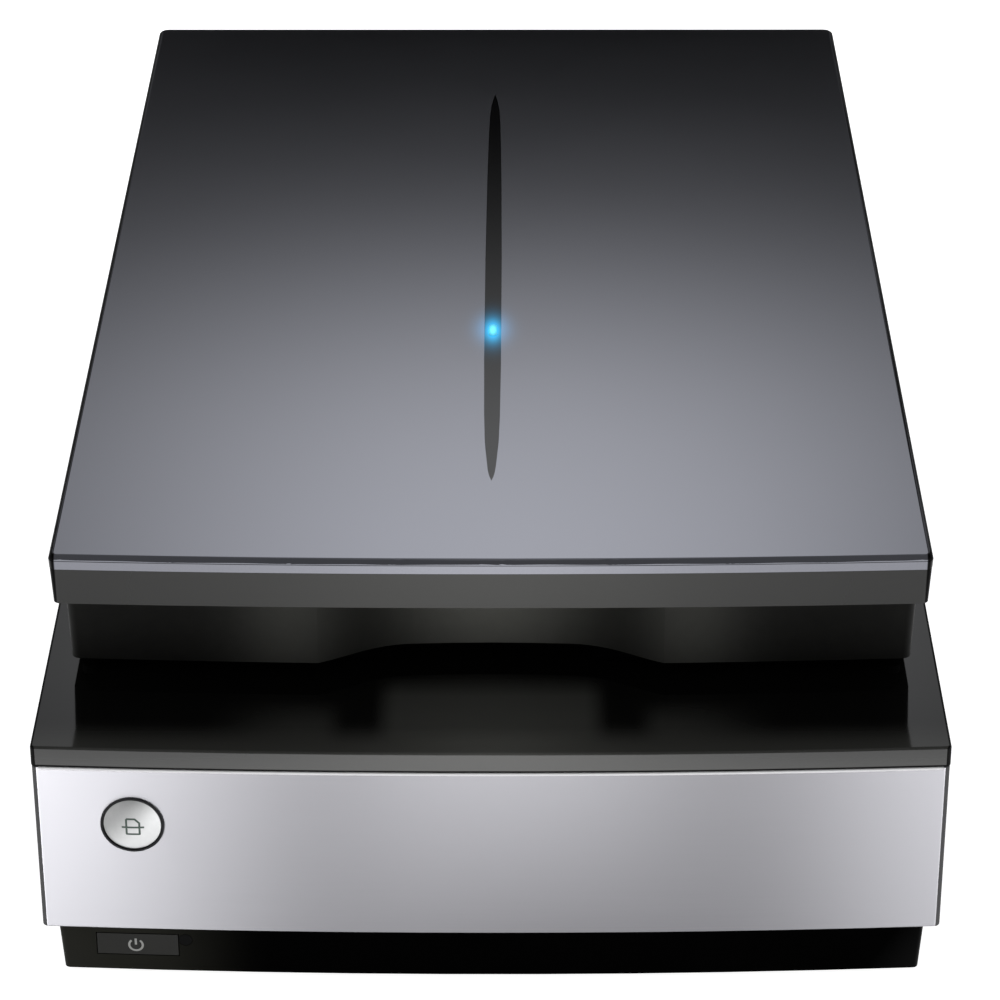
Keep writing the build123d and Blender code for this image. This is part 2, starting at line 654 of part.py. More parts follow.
# ---- scan carriage ----
def carriage_housing():
    """The carriage's open tray, with bush arms on the rod side, a shoe on the rail side and a belt clip."""
    y0 = CARRIAGE_Y - CARRIAGE_HALF_LENGTH
    y1 = CARRIAGE_Y + CARRIAGE_HALF_LENGTH
    half = CARRIAGE_HALF_WIDTH
    tray = block(-half, half, y0, y1, CARRIAGE_BOTTOM, CARRIAGE_TOP)
    tray = fillet(tray.edges().filter_by(Axis.Z), 3)
    tray -= block(-half + WALL, half - WALL, y0 + WALL, y1 - WALL, CARRIAGE_BOTTOM + WALL, 100)
    for side in (-1, 1):
        arm_y = CARRIAGE_Y + side * 28
        tray += block(ROD_X - 9, -half + 1, arm_y - 6, arm_y + 6, ROD_Z - 9, ROD_Z + 9)
        tray -= bar_y(ROD_X, ROD_Z, 6, arm_y - 7, arm_y + 7)
    tray += block(half - 1, 136, CARRIAGE_Y - 12, CARRIAGE_Y + 12, RAIL_TOP + 0.3, 44)
    run = BELT_X + BELT_INNER + BELT_THICK / 2
    clip = block(run - 3.5, run + 3.5, CARRIAGE_Y - 10, CARRIAGE_Y + 10, BELT_BOTTOM - 1, CARRIAGE_BOTTOM + 1)
    return tray + clip - block(run - 1, run + 1, CARRIAGE_Y - 11, CARRIAGE_Y + 11, 5, BELT_TOP + 0.4)


def rod_bushes():
    """Two bronze bushes pressed into the carriage's arms."""
    bushes = []
    for side in (-1, 1):
        y = CARRIAGE_Y + side * 28
        bore = bar_y(ROD_X, ROD_Z, ROD_RADIUS + 0.05, y - 8, y + 8)
        bushes.append(bar_y(ROD_X, ROD_Z, 6, y - 7, y + 7) - bore)
    return group(bushes)


def carriage_cover():
    """The lid of the carriage, with the slit that light comes in by."""
    half = CARRIAGE_HALF_WIDTH
    top = CARRIAGE_TOP + SEAM
    cover = block(-half, half, CARRIAGE_Y - 36, CARRIAGE_Y + 36, top, top + 1.6)
    return cover - block(-108, 108, CARRIAGE_Y - 3, CARRIAGE_Y + 5, top - 1, top + 3)


def carriage_lamp():
    """The light-emitting bar beside the slit."""
    z0 = CARRIAGE_TOP + SEAM + 1.6
    bar = block(-112, 112, CARRIAGE_Y - 22, CARRIAGE_Y - 10, z0, z0 + 4.2)
    return chamfer(bar.edges().filter_by(Axis.X).sort_by(Axis.Z)[-2:], 1.5)


def light_guide():
    """The clear bar that spreads the lamp's light along the slit."""
    z0 = CARRIAGE_TOP + SEAM + 1.6
    guide = block(-110, 110, CARRIAGE_Y - 9.8, CARRIAGE_Y - 4, z0, z0 + 3.6)
    return fillet(guide.edges().filter_by(Axis.X), 1.2)


def mirrors():
    """The four long mirrors that fold the light path, each as (y from the slit, z, tilt)."""
    strips = []
    for y, z, tilt in MIRROR_PLACES:
        strips.append(Pos(0, CARRIAGE_Y + y, z) * Rot(tilt, 0, 0) * Box(210, 11, 2))
    return group(strips)


def lens(x, radius):
    """A stepped lens barrel pointing along Y at x."""
    z = 55.0
    y0 = CARRIAGE_Y - 9
    barrel = bar_y(x, z, radius, y0, y0 + 16) + bar_y(x, z, radius - 1.5, y0 + 15.5, y0 + 26)
    return barrel - bar_y(x, z, radius - 4, y0 - 1, y0 + 2)


def fine_lens():
    """The larger lens, for film."""
    return lens(-17, 11)


def standard_lens():
    """The smaller lens, for whole pages."""
    return lens(15, 9)


def sensor_board():
    """The board with the long image sensor on its inner face."""
    y = CARRIAGE_Y + 30
    board = block(-50, 50, y, y + SHEET, 38, 66)
    return board + block(-36, 36, y - 3, y + 0.2, 50, 60)


# ---- hinges ----
def hinge_legs():
    """Two legs that slide up in the base's wells, each with a knuckle at its top."""
    legs = []
    leg_top = DECK_TOP + 0.85
    for side in (-1, 1):
        x = side * HINGE_X
        leg = block(x - LEG_HALF_WIDTH, x + LEG_HALF_WIDTH, LEG_FRONT, LEG_BACK, LEG_BOTTOM, leg_top)
        leg = chamfer(leg.edges().filter_by(Axis.X).sort_by(Axis.Z)[:2], 1.5)
        neck = Plane.YZ.offset(x - KNUCKLE_HALF) * make_face(
            Polyline(
                (LEG_FRONT, 92), (LEG_BACK, 92), (LEG_BACK, leg_top), (AXIS_Y + 4, AXIS_Z - 4.4),
                (AXIS_Y - 3, AXIS_Z + 5.1), (LEG_FRONT, leg_top), close=True,
            )
        )
        leg += extrude(neck, 2 * KNUCKLE_HALF)
        leg += bar_x(AXIS_Y, AXIS_Z, 6, x - KNUCKLE_HALF, x + KNUCKLE_HALF)
        legs.append(leg - bar_x(AXIS_Y, AXIS_Z, PIN_RADIUS, x - 10, x + 10))
    return group(legs)


def hinge_pins():
    """Two steel pins pressed through the knuckles."""
    reach = KNUCKLE_HALF + EAR_GAP + EAR_THICK + 0.5
    return group([bar_x(AXIS_Y, AXIS_Z, PIN_RADIUS, x - reach, x + reach) for x in (-HINGE_X, HINGE_X)])


def hinge_brackets():
    """Two lid brackets: a plate screwed up under the lid, with two ears that turn on the pin."""
    brackets = []
    for side in (-1, 1):
        x = side * HINGE_X
        bracket = block(x - 14, x + 14, 204, 246, POCKET_TOP - 3.2, POCKET_TOP - 0.2)
        for inner in (x + KNUCKLE_HALF + EAR_GAP, x - KNUCKLE_HALF - EAR_GAP - EAR_THICK):
            bracket += block(inner, inner + EAR_THICK, AXIS_Y - 6.5, AXIS_Y + 3, AXIS_Z, POCKET_TOP - 1)
            bracket += bar_x(AXIS_Y, AXIS_Z, 6.5, inner, inner + EAR_THICK)
        bracket -= bar_x(AXIS_Y, AXIS_Z, PIN_RADIUS + 0.05, x - 20, x + 20)
        for hole_x in (x - 8, x + 8):
            bracket -= post(hole_x, 212, 1.6, 110, 125)
        brackets.append(bracket)
    return group(brackets)


# ---- lid ----
def spindle(width, front, back):
    """A long shape with two pointed ends and nearly straight sides, fuller towards its front."""
    length = back - front
    side = [(width / 2 * share, front + length * along) for along, share in GROOVE_PROFILE]
    right = Spline(*side)
    left = Spline(*[(-x, y) for x, y in reversed(side)])
    return make_face([right, left])


def light_zone(grow, z0, z1):
    """The rounded slot that the blue light fills."""
    slot = SlotOverall(LIGHT_SIZE[1] + 2 * grow, LIGHT_SIZE[0] + 2 * grow, rotation=90)
    return extrude(Pos(0, LIGHT_Y, z0) * slot, z1 - z0)


def lid_cover():
    """The dark metallic cap of the lid, with a rolled front edge and the spindle opening."""
    low = bowed_plan(LID_RIM_WIDTH, LID_FRONT + 0.9, LID_BOW, BACK_Y, 2.5, 4.0)
    high = bowed_plan(LID_TOP_WIDTH, LID_FRONT, LID_BOW, BACK_Y - 0.4, 2.5, 4.0)
    cap = drafted(low, RIM_BOTTOM, high, HEIGHT)
    cap = fillet(cap.faces().sort_by(Axis.Z)[-1].edges(), 1.8)
    inner = bowed_plan(LID_RIM_WIDTH - 2 * WALL, LID_FRONT + WALL + 0.9, LID_BOW, BACK_Y - WALL - 0.6)
    cap -= slab(inner, RIM_BOTTOM - 1, LID_INNER_TOP)
    for x, y in LID_SCREWS:
        cap += post(x, y, 4, FRAME_TOP + SEAM, LID_INNER_TOP + 0.5)
        cap -= post(x, y, 1.5, FRAME_TOP, LID_INNER_TOP - 1)
    return cap - slab(spindle(GROOVE_WIDTH + 0.3, GROOVE_FRONT, GROOVE_BACK), 148, 154)


def light_groove():
    """The dark spindle set in the lid's top, slightly sunk, on a wider hidden flange."""
    inlay = slab(spindle(GROOVE_WIDTH, GROOVE_FRONT + 0.2, GROOVE_BACK - 0.2), 148.6, HEIGHT - 0.6)
    inlay += slab(spindle(GROOVE_WIDTH + 6, GROOVE_FRONT - 8, GROOVE_BACK + 8), 148.2, LID_INNER_TOP)
    return inlay - light_zone(0.1, 147, 154)


def lid_light():
    """The lens of the blue light in the groove."""
    return light_zone(0, 148.2, HEIGHT - 0.3)


def recess_plan(depth_extra):
    """The finger recess in plan: a shallow arch whose sides sweep out to the frame's front."""
    back = FRAME_FRONT + RECESS_DEPTH + depth_extra
    wide = RECESS_MOUTH_HALF + depth_extra
    narrow = RECESS_HALF + depth_extra
    mouth = FRAME_FRONT - 6
    right = Spline((wide, FRAME_FRONT), (narrow, back), tangents=[(-1, 0.35), (-1, 0.05)])
    crown = ThreePointArc((narrow, back), (0, back + RECESS_CROWN), (-narrow, back))
    left = Spline((-narrow, back), (-wide, FRAME_FRONT), tangents=[(-1, -0.05), (-1, -0.35)])
    front = Polyline((-wide, FRAME_FRONT), (-wide, mouth), (wide, mouth), (wide, FRAME_FRONT))
    return make_face([right, crown, left, front])


def lid_frame():
    """The lid's lower frame: drafted walls, a floor with the lamp window, mat rails and hinge pockets."""
    low = bowed_plan(FRAME_WIDTH, FRAME_FRONT, FRONT_BOW, FRAME_BACK, 3.0, 5.0)
    high = bowed_plan(FRAME_TOP_WIDTH, FRAME_FRONT, FRONT_BOW, FRAME_BACK, 3.0, 5.0)
    frame = drafted(low, FRAME_BOTTOM, high, RIM_BOTTOM - SEAM)
    rim = bowed_plan(LID_RIM_WIDTH - 2 * WALL - 0.6, LID_FRONT + WALL + 1.2, LID_BOW, BACK_Y - WALL - 0.9)
    frame += slab(rim, RIM_BOTTOM - SEAM, FRAME_TOP)
    frame -= block(-141.5, 141.5, FRAME_FRONT + 7, FRAME_BACK - WALL, FRAME_FLOOR, 140)
    # the finger recess with its own inner wall
    inner_wall = recess_plan(WALL) & Pos(0, FRAME_FRONT + 14, 0) * Rectangle(200, 22)
    frame += slab(inner_wall, FRAME_BOTTOM, RIM_BOTTOM - SEAM)
    frame -= slab(recess_plan(0), FRAME_BOTTOM - 1, RIM_BOTTOM - SEAM)
    # lamp window
    frame -= block(-104, 104, -134, 170, FRAME_BOTTOM - 1, FRAME_FLOOR + 1)
    # rails that the mat slides in
    for side in (-1, 1):
        web = (side * (MAT_HALF_WIDTH + 3.7), side * (MAT_HALF_WIDTH + 6.5))
        lip = (side * (MAT_HALF_WIDTH + 0.4), side * (MAT_HALF_WIDTH + 6.5))
        frame += block(min(web), max(web), MAT_FRONT + 4, MAT_BACK, 99.0, FRAME_BOTTOM + 0.5)
        frame += block(min(lip), max(lip), MAT_FRONT + 4, MAT_BACK, 99.0, 101.1)
    # hinge pockets, open below and behind
    for side in (-1, 1):
        x = side * HINGE_X
        half = POCKET_HALF
        frame += block(x - half - 2, x + half + 2, POCKET_FRONT - 2, FRAME_BACK - 1, FRAME_BOTTOM, 124)
        frame -= block(x - half, x + half, POCKET_FRONT, FRAME_BACK + 1, FRAME_BOTTOM - 1, POCKET_TOP)
        for hole_x in (x - 8, x + 8):
            frame -= post(hole_x, 212, 1.5, POCKET_TOP - 1, 130)
    # posts for the lamp rod, pulley pin and boards
    for y in (-184.0, 196.0):
        frame += block(LID_ROD_X - 6, LID_ROD_X + 6, y - 3, y + 3, FRAME_FLOOR - 0.5, LID_ROD_Z + 5)
        frame -= bar_y(LID_ROD_X, LID_ROD_Z, LID_ROD_RADIUS + 0.02, y - 4, y + 4)
    frame += block(137, 139, -180, 168, FRAME_FLOOR - 0.5, 115)
    frame += post(LID_BELT_X, LID_IDLER_Y, 3.5, FRAME_FLOOR - 0.5, 126)
    frame -= post(LID_BELT_X, LID_IDLER_Y, 1.5, 110, 127)
    for x, y in LID_BOARD_HOLES:
        frame += post(x, y, 3, FRAME_FLOOR - 0.5, 110) - post(x, y, 1.2, 106, 111)
    for x, y in LID_SCREWS:
        frame -= post(x, y, 1.7, 125, 140)
    # outlet of the lid's lead in the rear wall
    return frame - bar_y(0, 118, 4.2, 225, 240)


def lid_boards():
    """The driver board of the lid's lamp, and the small board with the blue light's emitter."""
    holes = [post(x, y, 1.4, 105, 115) for x, y in LID_BOARD_HOLES]
    driver = pcb_plate(-95, -35, 178, 222, 110, 110 + SHEET, holes)
    driver += block(-80, -60, 190, 208, 111, 121)
    driver += block(-52, -42, 192, 206, 111, 116)
    light = block(-9, 9, LIGHT_Y - 16, LIGHT_Y + 16, 145.4, 147) + post(0, LIGHT_Y, 1.4, 146.5, 148.1)
    return group([driver, light])


def lid_window():
    """The white diffuser that the lid's lamp shines through."""
    return block(-110, 110, -140, 176, FRAME_FLOOR, FRAME_FLOOR + 2.4)


def lid_pads():
    """Four small rubber pads under the lid frame's corners."""
    pads = [post(x, y, 2.6, 100.4, FRAME_BOTTOM) for x in (-139.5, 139.5) for y in (-188.0, 190.0)]
    return group(pads)


def lid_grommet():
    """The rubber ring where the lid's lead leaves the rear wall."""
    ring = bar_y(0, 118, 4.2, 233.5, 236) + bar_y(0, 118, 5.6, 236, 237.6)
    return ring - bar_y(0, 118, 2.6, 230, 240)


def lid_rod():
    """The steel rod that the lid's lamp runs on."""
    return bar_y(LID_ROD_X, LID_ROD_Z, LID_ROD_RADIUS, -187, 199)


def lid_rail():
    """The narrow rail under the lamp holder's other side."""
    return block(132, 141, -180, 168, 115, 116.6)


def lid_motor():
    """The lid's motor, standing with its shaft bore facing up."""
    can = post(LID_BELT_X, LID_MOTOR_Y, 12, FRAME_FLOOR, 126)
    can = fillet(can.edges().filter_by(GeomType.CIRCLE).sort_by(Axis.Z)[-1], 0.8)
    return can - post(LID_BELT_X, LID_MOTOR_Y, 1.55, 115, 127)


def lid_motor_pulley():
    """The pulley on the lid motor's shaft."""
    pulley = toothless_pulley(LID_BELT_X, LID_MOTOR_Y, LID_BELT_INNER - 0.3, 7.6, 127.6, 134.0, 1.45)
    return pulley + post(LID_BELT_X, LID_MOTOR_Y, 1.5, 116, 135)


def lid_idler_pulley():
    """The free pulley of the lid's belt."""
    return toothless_pulley(LID_BELT_X, LID_IDLER_Y, LID_BELT_INNER - 0.3, 7.6, 127.6, 134.0, 1.56)


def lid_idler_pin():
    """The pin of the lid's free pulley."""
    pin = post(LID_BELT_X, LID_IDLER_Y, 1.5, 110, 135.4)
    return pin + post(LID_BELT_X, LID_IDLER_Y, 2.8, 134.5, 135.4)


def lid_belt():
    """The belt that pulls the lid's lamp."""
    return belt_loop(LID_BELT_X, LID_IDLER_Y, LID_MOTOR_Y, LID_BELT_INNER, LID_BELT_THICK, 128.9, 132.7)


def lamp_holder():
    """The lid lamp's carriage: a channel with two rod arms, a shoe and a belt clip."""
    half = LAMP_HALF_WIDTH
    holder = block(-half, half, LAMP_Y - 15, LAMP_Y + 15, 112, 124)
    holder -= block(-half + 2, half - 2, LAMP_Y - 11, LAMP_Y + 11, 111, 121.5)
    for side in (-1, 1):
        y = LAMP_Y + side * 10
        holder += block(LID_ROD_X - 5.5, -half + 1, y - 4, y + 4, 119.5, 130.5)
    holder -= bar_y(LID_ROD_X, LID_ROD_Z, LID_ROD_RADIUS + 0.05, LAMP_Y - 16, LAMP_Y + 16)
    holder += block(half - 1, 138.5, LAMP_Y - 8, LAMP_Y + 8, 116.9, 119.5)
    run = LID_BELT_X - LID_BELT_INNER - LID_BELT_THICK / 2
    clip = block(run - 3.2, run + 2.6, LAMP_Y - 8, LAMP_Y + 8, 119, 133.4)
    clip += block(half - 2, run, LAMP_Y - 8, LAMP_Y + 8, 119, 124)
    return holder + clip - block(run - 0.9, run + 0.9, LAMP_Y - 9, LAMP_Y + 9, 128.5, 140)


def lid_lamp():
    """The long light bar inside the lamp holder."""
    lamp = block(-105, 105, LAMP_Y - 8, LAMP_Y + 8, 117.5, 121.5)
    return chamfer(lamp.edges().filter_by(Axis.X).sort_by(Axis.Z)[:2], 1.5)


# ---- document mat ----
def mat_carrier():
    """The stiff black board of the document mat, with side tongues that run in the rails."""
    half = MAT_HALF_WIDTH
    board = block(-half, half, MAT_FRONT, MAT_BACK - 1, MAT_BOTTOM + 1.4, MAT_TOP)
    board += block(-half - 3.3, half + 3.3, MAT_FRONT + 6, MAT_BACK - 1, 101.5, MAT_TOP)
    grip = Pos(0, MAT_FRONT, 0) * SlotOverall(70, 14)
    return board - slab(grip, MAT_BOTTOM, MAT_TOP + 1)


def mat_sheet():
    """The white sheet that presses originals flat."""
    half = MAT_HALF_WIDTH - 2
    sheet = block(-half, half, MAT_FRONT + 9, MAT_BACK - 4, MAT_BOTTOM, MAT_BOTTOM + 1.4)
    return fillet(sheet.edges().filter_by(Axis.Z), 3)


# ---- fasteners ----
def base_screws():
    """The long screws of the deck, the screws of the rod clamps, and those of both upright boards."""
    screws = [screw_up(x, y, 76, 15) for x, y in CASE_SCREWS]
    for side in (-1, 1):
        for offset in (-8.5, 8.5):
            screws.append(screw_down(ROD_X + offset, side * ROD_POST_Y, ROD_Z + 7, 14))
    face = PANEL_BOARD_Y + SHEET
    for x in PANEL_BOARD_SCREWS:
        head = bar_y(x, PANEL_BOARD_SCREW_Z, 2.6, face, face + 1.6)
        screws.append(head + bar_y(x, PANEL_BOARD_SCREW_Z, 1.2, -237, face))
    for x in MAIN_BOARD_SCREWS:
        head = bar_y(x, MAIN_BOARD_SCREW_Z, 2.6, MAIN_BOARD_Y - 1.6, MAIN_BOARD_Y)
        screws.append(head + bar_y(x, MAIN_BOARD_SCREW_Z, 1.2, MAIN_BOARD_Y, 237))
    return group(screws)


def lid_screws():
    """The screws of the lid's rim and of the two hinge brackets, driven from below."""
    screws = [screw_up(x, y, RIM_BOTTOM - SEAM, 10, 1.4) for x, y in LID_SCREWS]
    for side in (-1, 1):
        for offset in (-8, 8):
            screws.append(screw_up(side * HINGE_X + offset, 212, POCKET_TOP - 3.2, 5.6, 1.45))
    return group(screws)


NODES = [
    lower_case,
    upper_frame,
    front_panel,
    start_button_ring,
    power_indicator,
    panel_board,
    platen_glass,
    glass_tape,
    calibration_strip,
    rubber_feet,
    guide_rod,
    rod_clamps,
    slide_rail,
    drive_motor,
    motor_bracket,
    pulley_pins,
    drive_belt,
    main_board,
    lid_unit_socket,
    usb_socket,
    power_inlet,
    base_screws,
    start_button,
    power_button,
    transport_lock,
    motor_pinion,
    drive_gear,
    idler_pulley,
    carriage_housing,
    rod_bushes,
    carriage_cover,
    carriage_lamp,
    light_guide,
    mirrors,
    fine_lens,
    standard_lens,
    sensor_board,
    hinge_legs,
    hinge_pins,
    hinge_brackets,
    lid_cover,
    light_groove,
    lid_light,
    lid_boards,
    lid_frame,
    lid_window,
    lid_pads,
    lid_grommet,
    lid_rod,
    lid_rail,
    lid_motor,
    lid_belt,
    lid_idler_pin,
    lid_screws,
    lid_motor_pulley,
    lid_idler_pulley,
    lamp_holder,
    lid_lamp,
    mat_carrier,
    mat_sheet,
]

os.makedirs("parts", exist_ok=True)
for make in NODES:
    export_step(make(), f"parts/{make.__name__}.step")
print(len(NODES), "nodes")
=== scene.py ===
"""Looks of the flatbed scanner: finishes, fine details, floor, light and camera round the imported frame."""

import json
import math

import bmesh
import bpy
from mathutils import Matrix, Vector
from mathutils.bvhtree import BVHTree


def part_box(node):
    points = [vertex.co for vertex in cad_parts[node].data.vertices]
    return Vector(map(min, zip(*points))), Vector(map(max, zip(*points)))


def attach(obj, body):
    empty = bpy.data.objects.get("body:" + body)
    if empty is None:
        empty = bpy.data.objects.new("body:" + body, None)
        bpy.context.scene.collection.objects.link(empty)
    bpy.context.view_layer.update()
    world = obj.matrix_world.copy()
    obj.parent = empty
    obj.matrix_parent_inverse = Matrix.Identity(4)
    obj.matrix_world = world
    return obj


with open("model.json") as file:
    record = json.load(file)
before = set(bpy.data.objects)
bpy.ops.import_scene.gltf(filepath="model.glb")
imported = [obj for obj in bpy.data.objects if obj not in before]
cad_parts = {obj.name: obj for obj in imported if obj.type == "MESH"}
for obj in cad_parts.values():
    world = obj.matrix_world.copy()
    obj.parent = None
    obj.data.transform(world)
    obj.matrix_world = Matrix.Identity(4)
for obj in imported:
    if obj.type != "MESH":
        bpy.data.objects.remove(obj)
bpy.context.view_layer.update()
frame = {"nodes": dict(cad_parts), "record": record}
nodes = frame["nodes"]
MM = 0.001


# ---- node trees ----
def rgb(*values):
    """A linear colour with full alpha."""
    return (*values, 1.0)


class Tree:
    """A node tree and the few nodes that this scene needs."""

    def __init__(self, tree):
        self.tree = tree

    def node(self, kind, **settings):
        made = self.tree.nodes.new(kind)
        for label, value in settings.items():
            setattr(made, label, value)
        return made

    def feed(self, socket, source):
        """Links an output, or sets a plain value."""
        if isinstance(source, bpy.types.NodeSocket):
            self.tree.links.new(source, socket)
        else:
            socket.default_value = source
        return socket

    def spread(self, source, low, high, to_low, to_high, smooth=False):
        """Maps a number from one range to another."""
        made = self.node("ShaderNodeMapRange")
        if smooth:
            made.interpolation_type = "SMOOTHSTEP"
        self.feed(made.inputs["Value"], source)
        made.inputs["From Min"].default_value = low
        made.inputs["From Max"].default_value = high
        made.inputs["To Min"].default_value = to_low
        made.inputs["To Max"].default_value = to_high
        return made.outputs["Result"]

    def math(self, operation, a, b=0.0):
        made = self.node("ShaderNodeMath", operation=operation)
        self.feed(made.inputs[0], a)
        self.feed(made.inputs[1], b)
        return made.outputs["Value"]

    def hump(self, source, middle, width):
        """A smooth bell around a value: 1 at its middle, 0.37 at its width."""
        off = self.math("DIVIDE", self.math("SUBTRACT", source, middle), width)
        squared = self.math("MULTIPLY", off, off)
        return self.math("EXPONENT", self.math("MULTIPLY", squared, -1.0))

    def coordinate(self, kind, axis):
        """One component of a texture coordinate."""
        coords = self.node("ShaderNodeTexCoord")
        parts = self.node("ShaderNodeSeparateXYZ")
        self.feed(parts.inputs["Vector"], coords.outputs[kind])
        return parts.outputs[axis]


class Finish(Tree):
    """A Principled material with textures in the part's own coordinates."""

    def __init__(self, name, **sockets):
        self.material = bpy.data.materials.new(name)
        self.material.use_nodes = True
        super().__init__(self.material.node_tree)
        self.shader = self.tree.nodes["Principled BSDF"]
        self.relief = None
        for label, value in sockets.items():
            self.shader.inputs[label.replace("_", " ")].default_value = value

    def place(self, scale=(1, 1, 1), shift=(0, 0, 0)):
        """Object coordinates, in metres, stretched by scale and then shifted."""
        coords = self.node("ShaderNodeTexCoord")
        mapping = self.node("ShaderNodeMapping")
        mapping.inputs["Scale"].default_value = scale
        mapping.inputs["Location"].default_value = shift
        self.feed(mapping.inputs["Vector"], coords.outputs["Object"])
        return mapping.outputs["Vector"]

    def noise(self, size, detail=3.0, roughness=0.55, stretch=(1, 1, 1)):
        """Smooth noise whose features are about size metres across, stretched per axis."""
        made = self.node("ShaderNodeTexNoise")
        self.feed(made.inputs["Vector"], self.place(tuple(s / size for s in stretch)))
        made.inputs["Scale"].default_value = 1.0
        made.inputs["Detail"].default_value = detail
        made.inputs["Roughness"].default_value = roughness
        return made.outputs["Fac"]

    def cells(self, size):
        """Cell distances of about size metres, for moulded grain."""
        made = self.node("ShaderNodeTexVoronoi")
        self.feed(made.inputs["Vector"], self.place((1 / size,) * 3))
        made.inputs["Scale"].default_value = 1.0
        return made.outputs["Distance"]

    def blend(self, factor, a, b):
        """A colour between a and b."""
        made = self.node("ShaderNodeMix", data_type="RGBA")
        self.feed(made.inputs[0], factor)
        self.feed(made.inputs[6], a)
        self.feed(made.inputs[7], b)
        return made.outputs[2]

    def colour(self, source):
        self.feed(self.shader.inputs["Base Color"], source)
        return self

    def rough(self, low, high, size=0.015):
        """Roughness that wanders between two values."""
        self.feed(self.shader.inputs["Roughness"], self.spread(self.noise(size), 0.3, 0.7, low, high))
        return self

    def bump(self, height, depth, strength=1.0):
        """Adds relief; depth is in metres. Later calls stack on earlier ones."""
        made = self.node("ShaderNodeBump")
        made.inputs["Distance"].default_value = depth
        made.inputs["Strength"].default_value = strength
        self.feed(made.inputs["Height"], height)
        if self.relief is not None:
            self.feed(made.inputs["Normal"], self.relief)
        self.relief = made.outputs["Normal"]
        self.feed(self.shader.inputs["Normal"], self.relief)
        return self

    def mottled(self, dark, light, size=0.02):
        """A colour that wanders between two shades."""
        return self.colour(self.blend(self.noise(size), rgb(*dark), rgb(*light)))

    def paint_corner_shade(self, reach, front):
        """Paints shade on the two front corners: dull and black further out than reach and nearer than
        front.
        """
        across = self.math("ABSOLUTE", self.coordinate("Object", "X"))
        beyond = self.spread(across, reach - 0.2 * MM, reach + 0.2 * MM, 0, 1)
        near = self.spread(self.coordinate("Object", "Y"), front + 0.3 * MM, front - 0.3 * MM, 0, 1)
        corner = self.math("MULTIPLY", beyond, near)
        # painted shade: black base colour and almost no gloss on the corners
        base = self.shader.inputs["Base Color"]
        self.colour(self.blend(corner, base.links[0].from_socket, rgb(0.003, 0.003, 0.003)))
        specular = self.shader.inputs["Specular IOR Level"]
        self.feed(specular, self.spread(corner, 0, 1, specular.default_value, 0.02))
        return self

    def glow(self, centre, lobes, colour):
        """Emission that fades away from a point: painted light on parts that are no lamp, and the lamp's own
        light on its lens; each lobe is (radius along x, radius along y, strength).
        """
        total = 0.0
        for radius_x, radius_y, strength in lobes:
            scale = (1 / radius_x, 1 / radius_y, 0)
            shift = (-centre.x / radius_x, -centre.y / radius_y, 0)
            length = self.node("ShaderNodeVectorMath", operation="LENGTH")
            self.feed(length.inputs[0], self.place(scale, shift))
            lobe = self.math("MULTIPLY", self.hump(length.outputs["Value"], 0.0, 1.0), strength)
            total = self.math("ADD", lobe, total)
        self.feed(self.shader.inputs["Emission Strength"], total)
        self.shader.inputs["Emission Color"].default_value = rgb(*colour)
        return self


# ---- finishes ----
LIGHT_CENTRE = (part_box("lid_light")[0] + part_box("lid_light")[1]) / 2
# where the painted shade on the lid's front corners begins: further out than the first, nearer than the
# second
LID_PAINTED_SHADE_CORNERS = (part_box("lid_cover")[1].x - 2.1 * MM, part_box("lid_cover")[0].y + 5.6 * MM)
# the deck's front strip begins where the silver panel ends
STRIP_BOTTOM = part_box("front_panel")[1].z
# colour of the painted light on the lid's skin and on the inlay, and of the lamp's light on the lens itself
PAINTED_GLOW_ON_SKIN = (0.08, 0.5, 1.0)
PAINTED_GLOW_ON_INLAY = (0.03, 0.5, 0.95)
GLOW_OF_LENS = (0.14, 0.8, 1.0)


def moulded(name, dark, light, roughness, grain=0.0006, depth=0.000006, **sockets):
    """Moulded plastic: fine grain, a little colour and roughness variation."""
    finish = Finish(name, **sockets).mottled(dark, light)
    finish.rough(roughness - 0.03, roughness + 0.03)
    return finish.bump(finish.noise(grain, detail=2.0), depth).material


def brushed(name, dark, light, roughness, grain_axis, **sockets):
    """Metal with fine lines along one axis."""
    finish = Finish(name, Metallic=1.0, **sockets)
    stretch = tuple(0.02 if axis == grain_axis else 1.0 for axis in range(3))
    lines = finish.noise(0.0004, detail=4.0, roughness=0.7, stretch=stretch)
    finish.colour(finish.blend(lines, rgb(*dark), rgb(*light)))
    finish.rough(roughness - 0.04, roughness + 0.04)
    return finish.bump(lines, 0.000002).material


# where painted shade darkens the satin panel between its bright middle and its bright ends: (x, reach,
# depth)
PANEL_PAINTED_DIPS = [(-60 * MM, 36 * MM, 0.36), (83 * MM, 42 * MM, 0.42)]


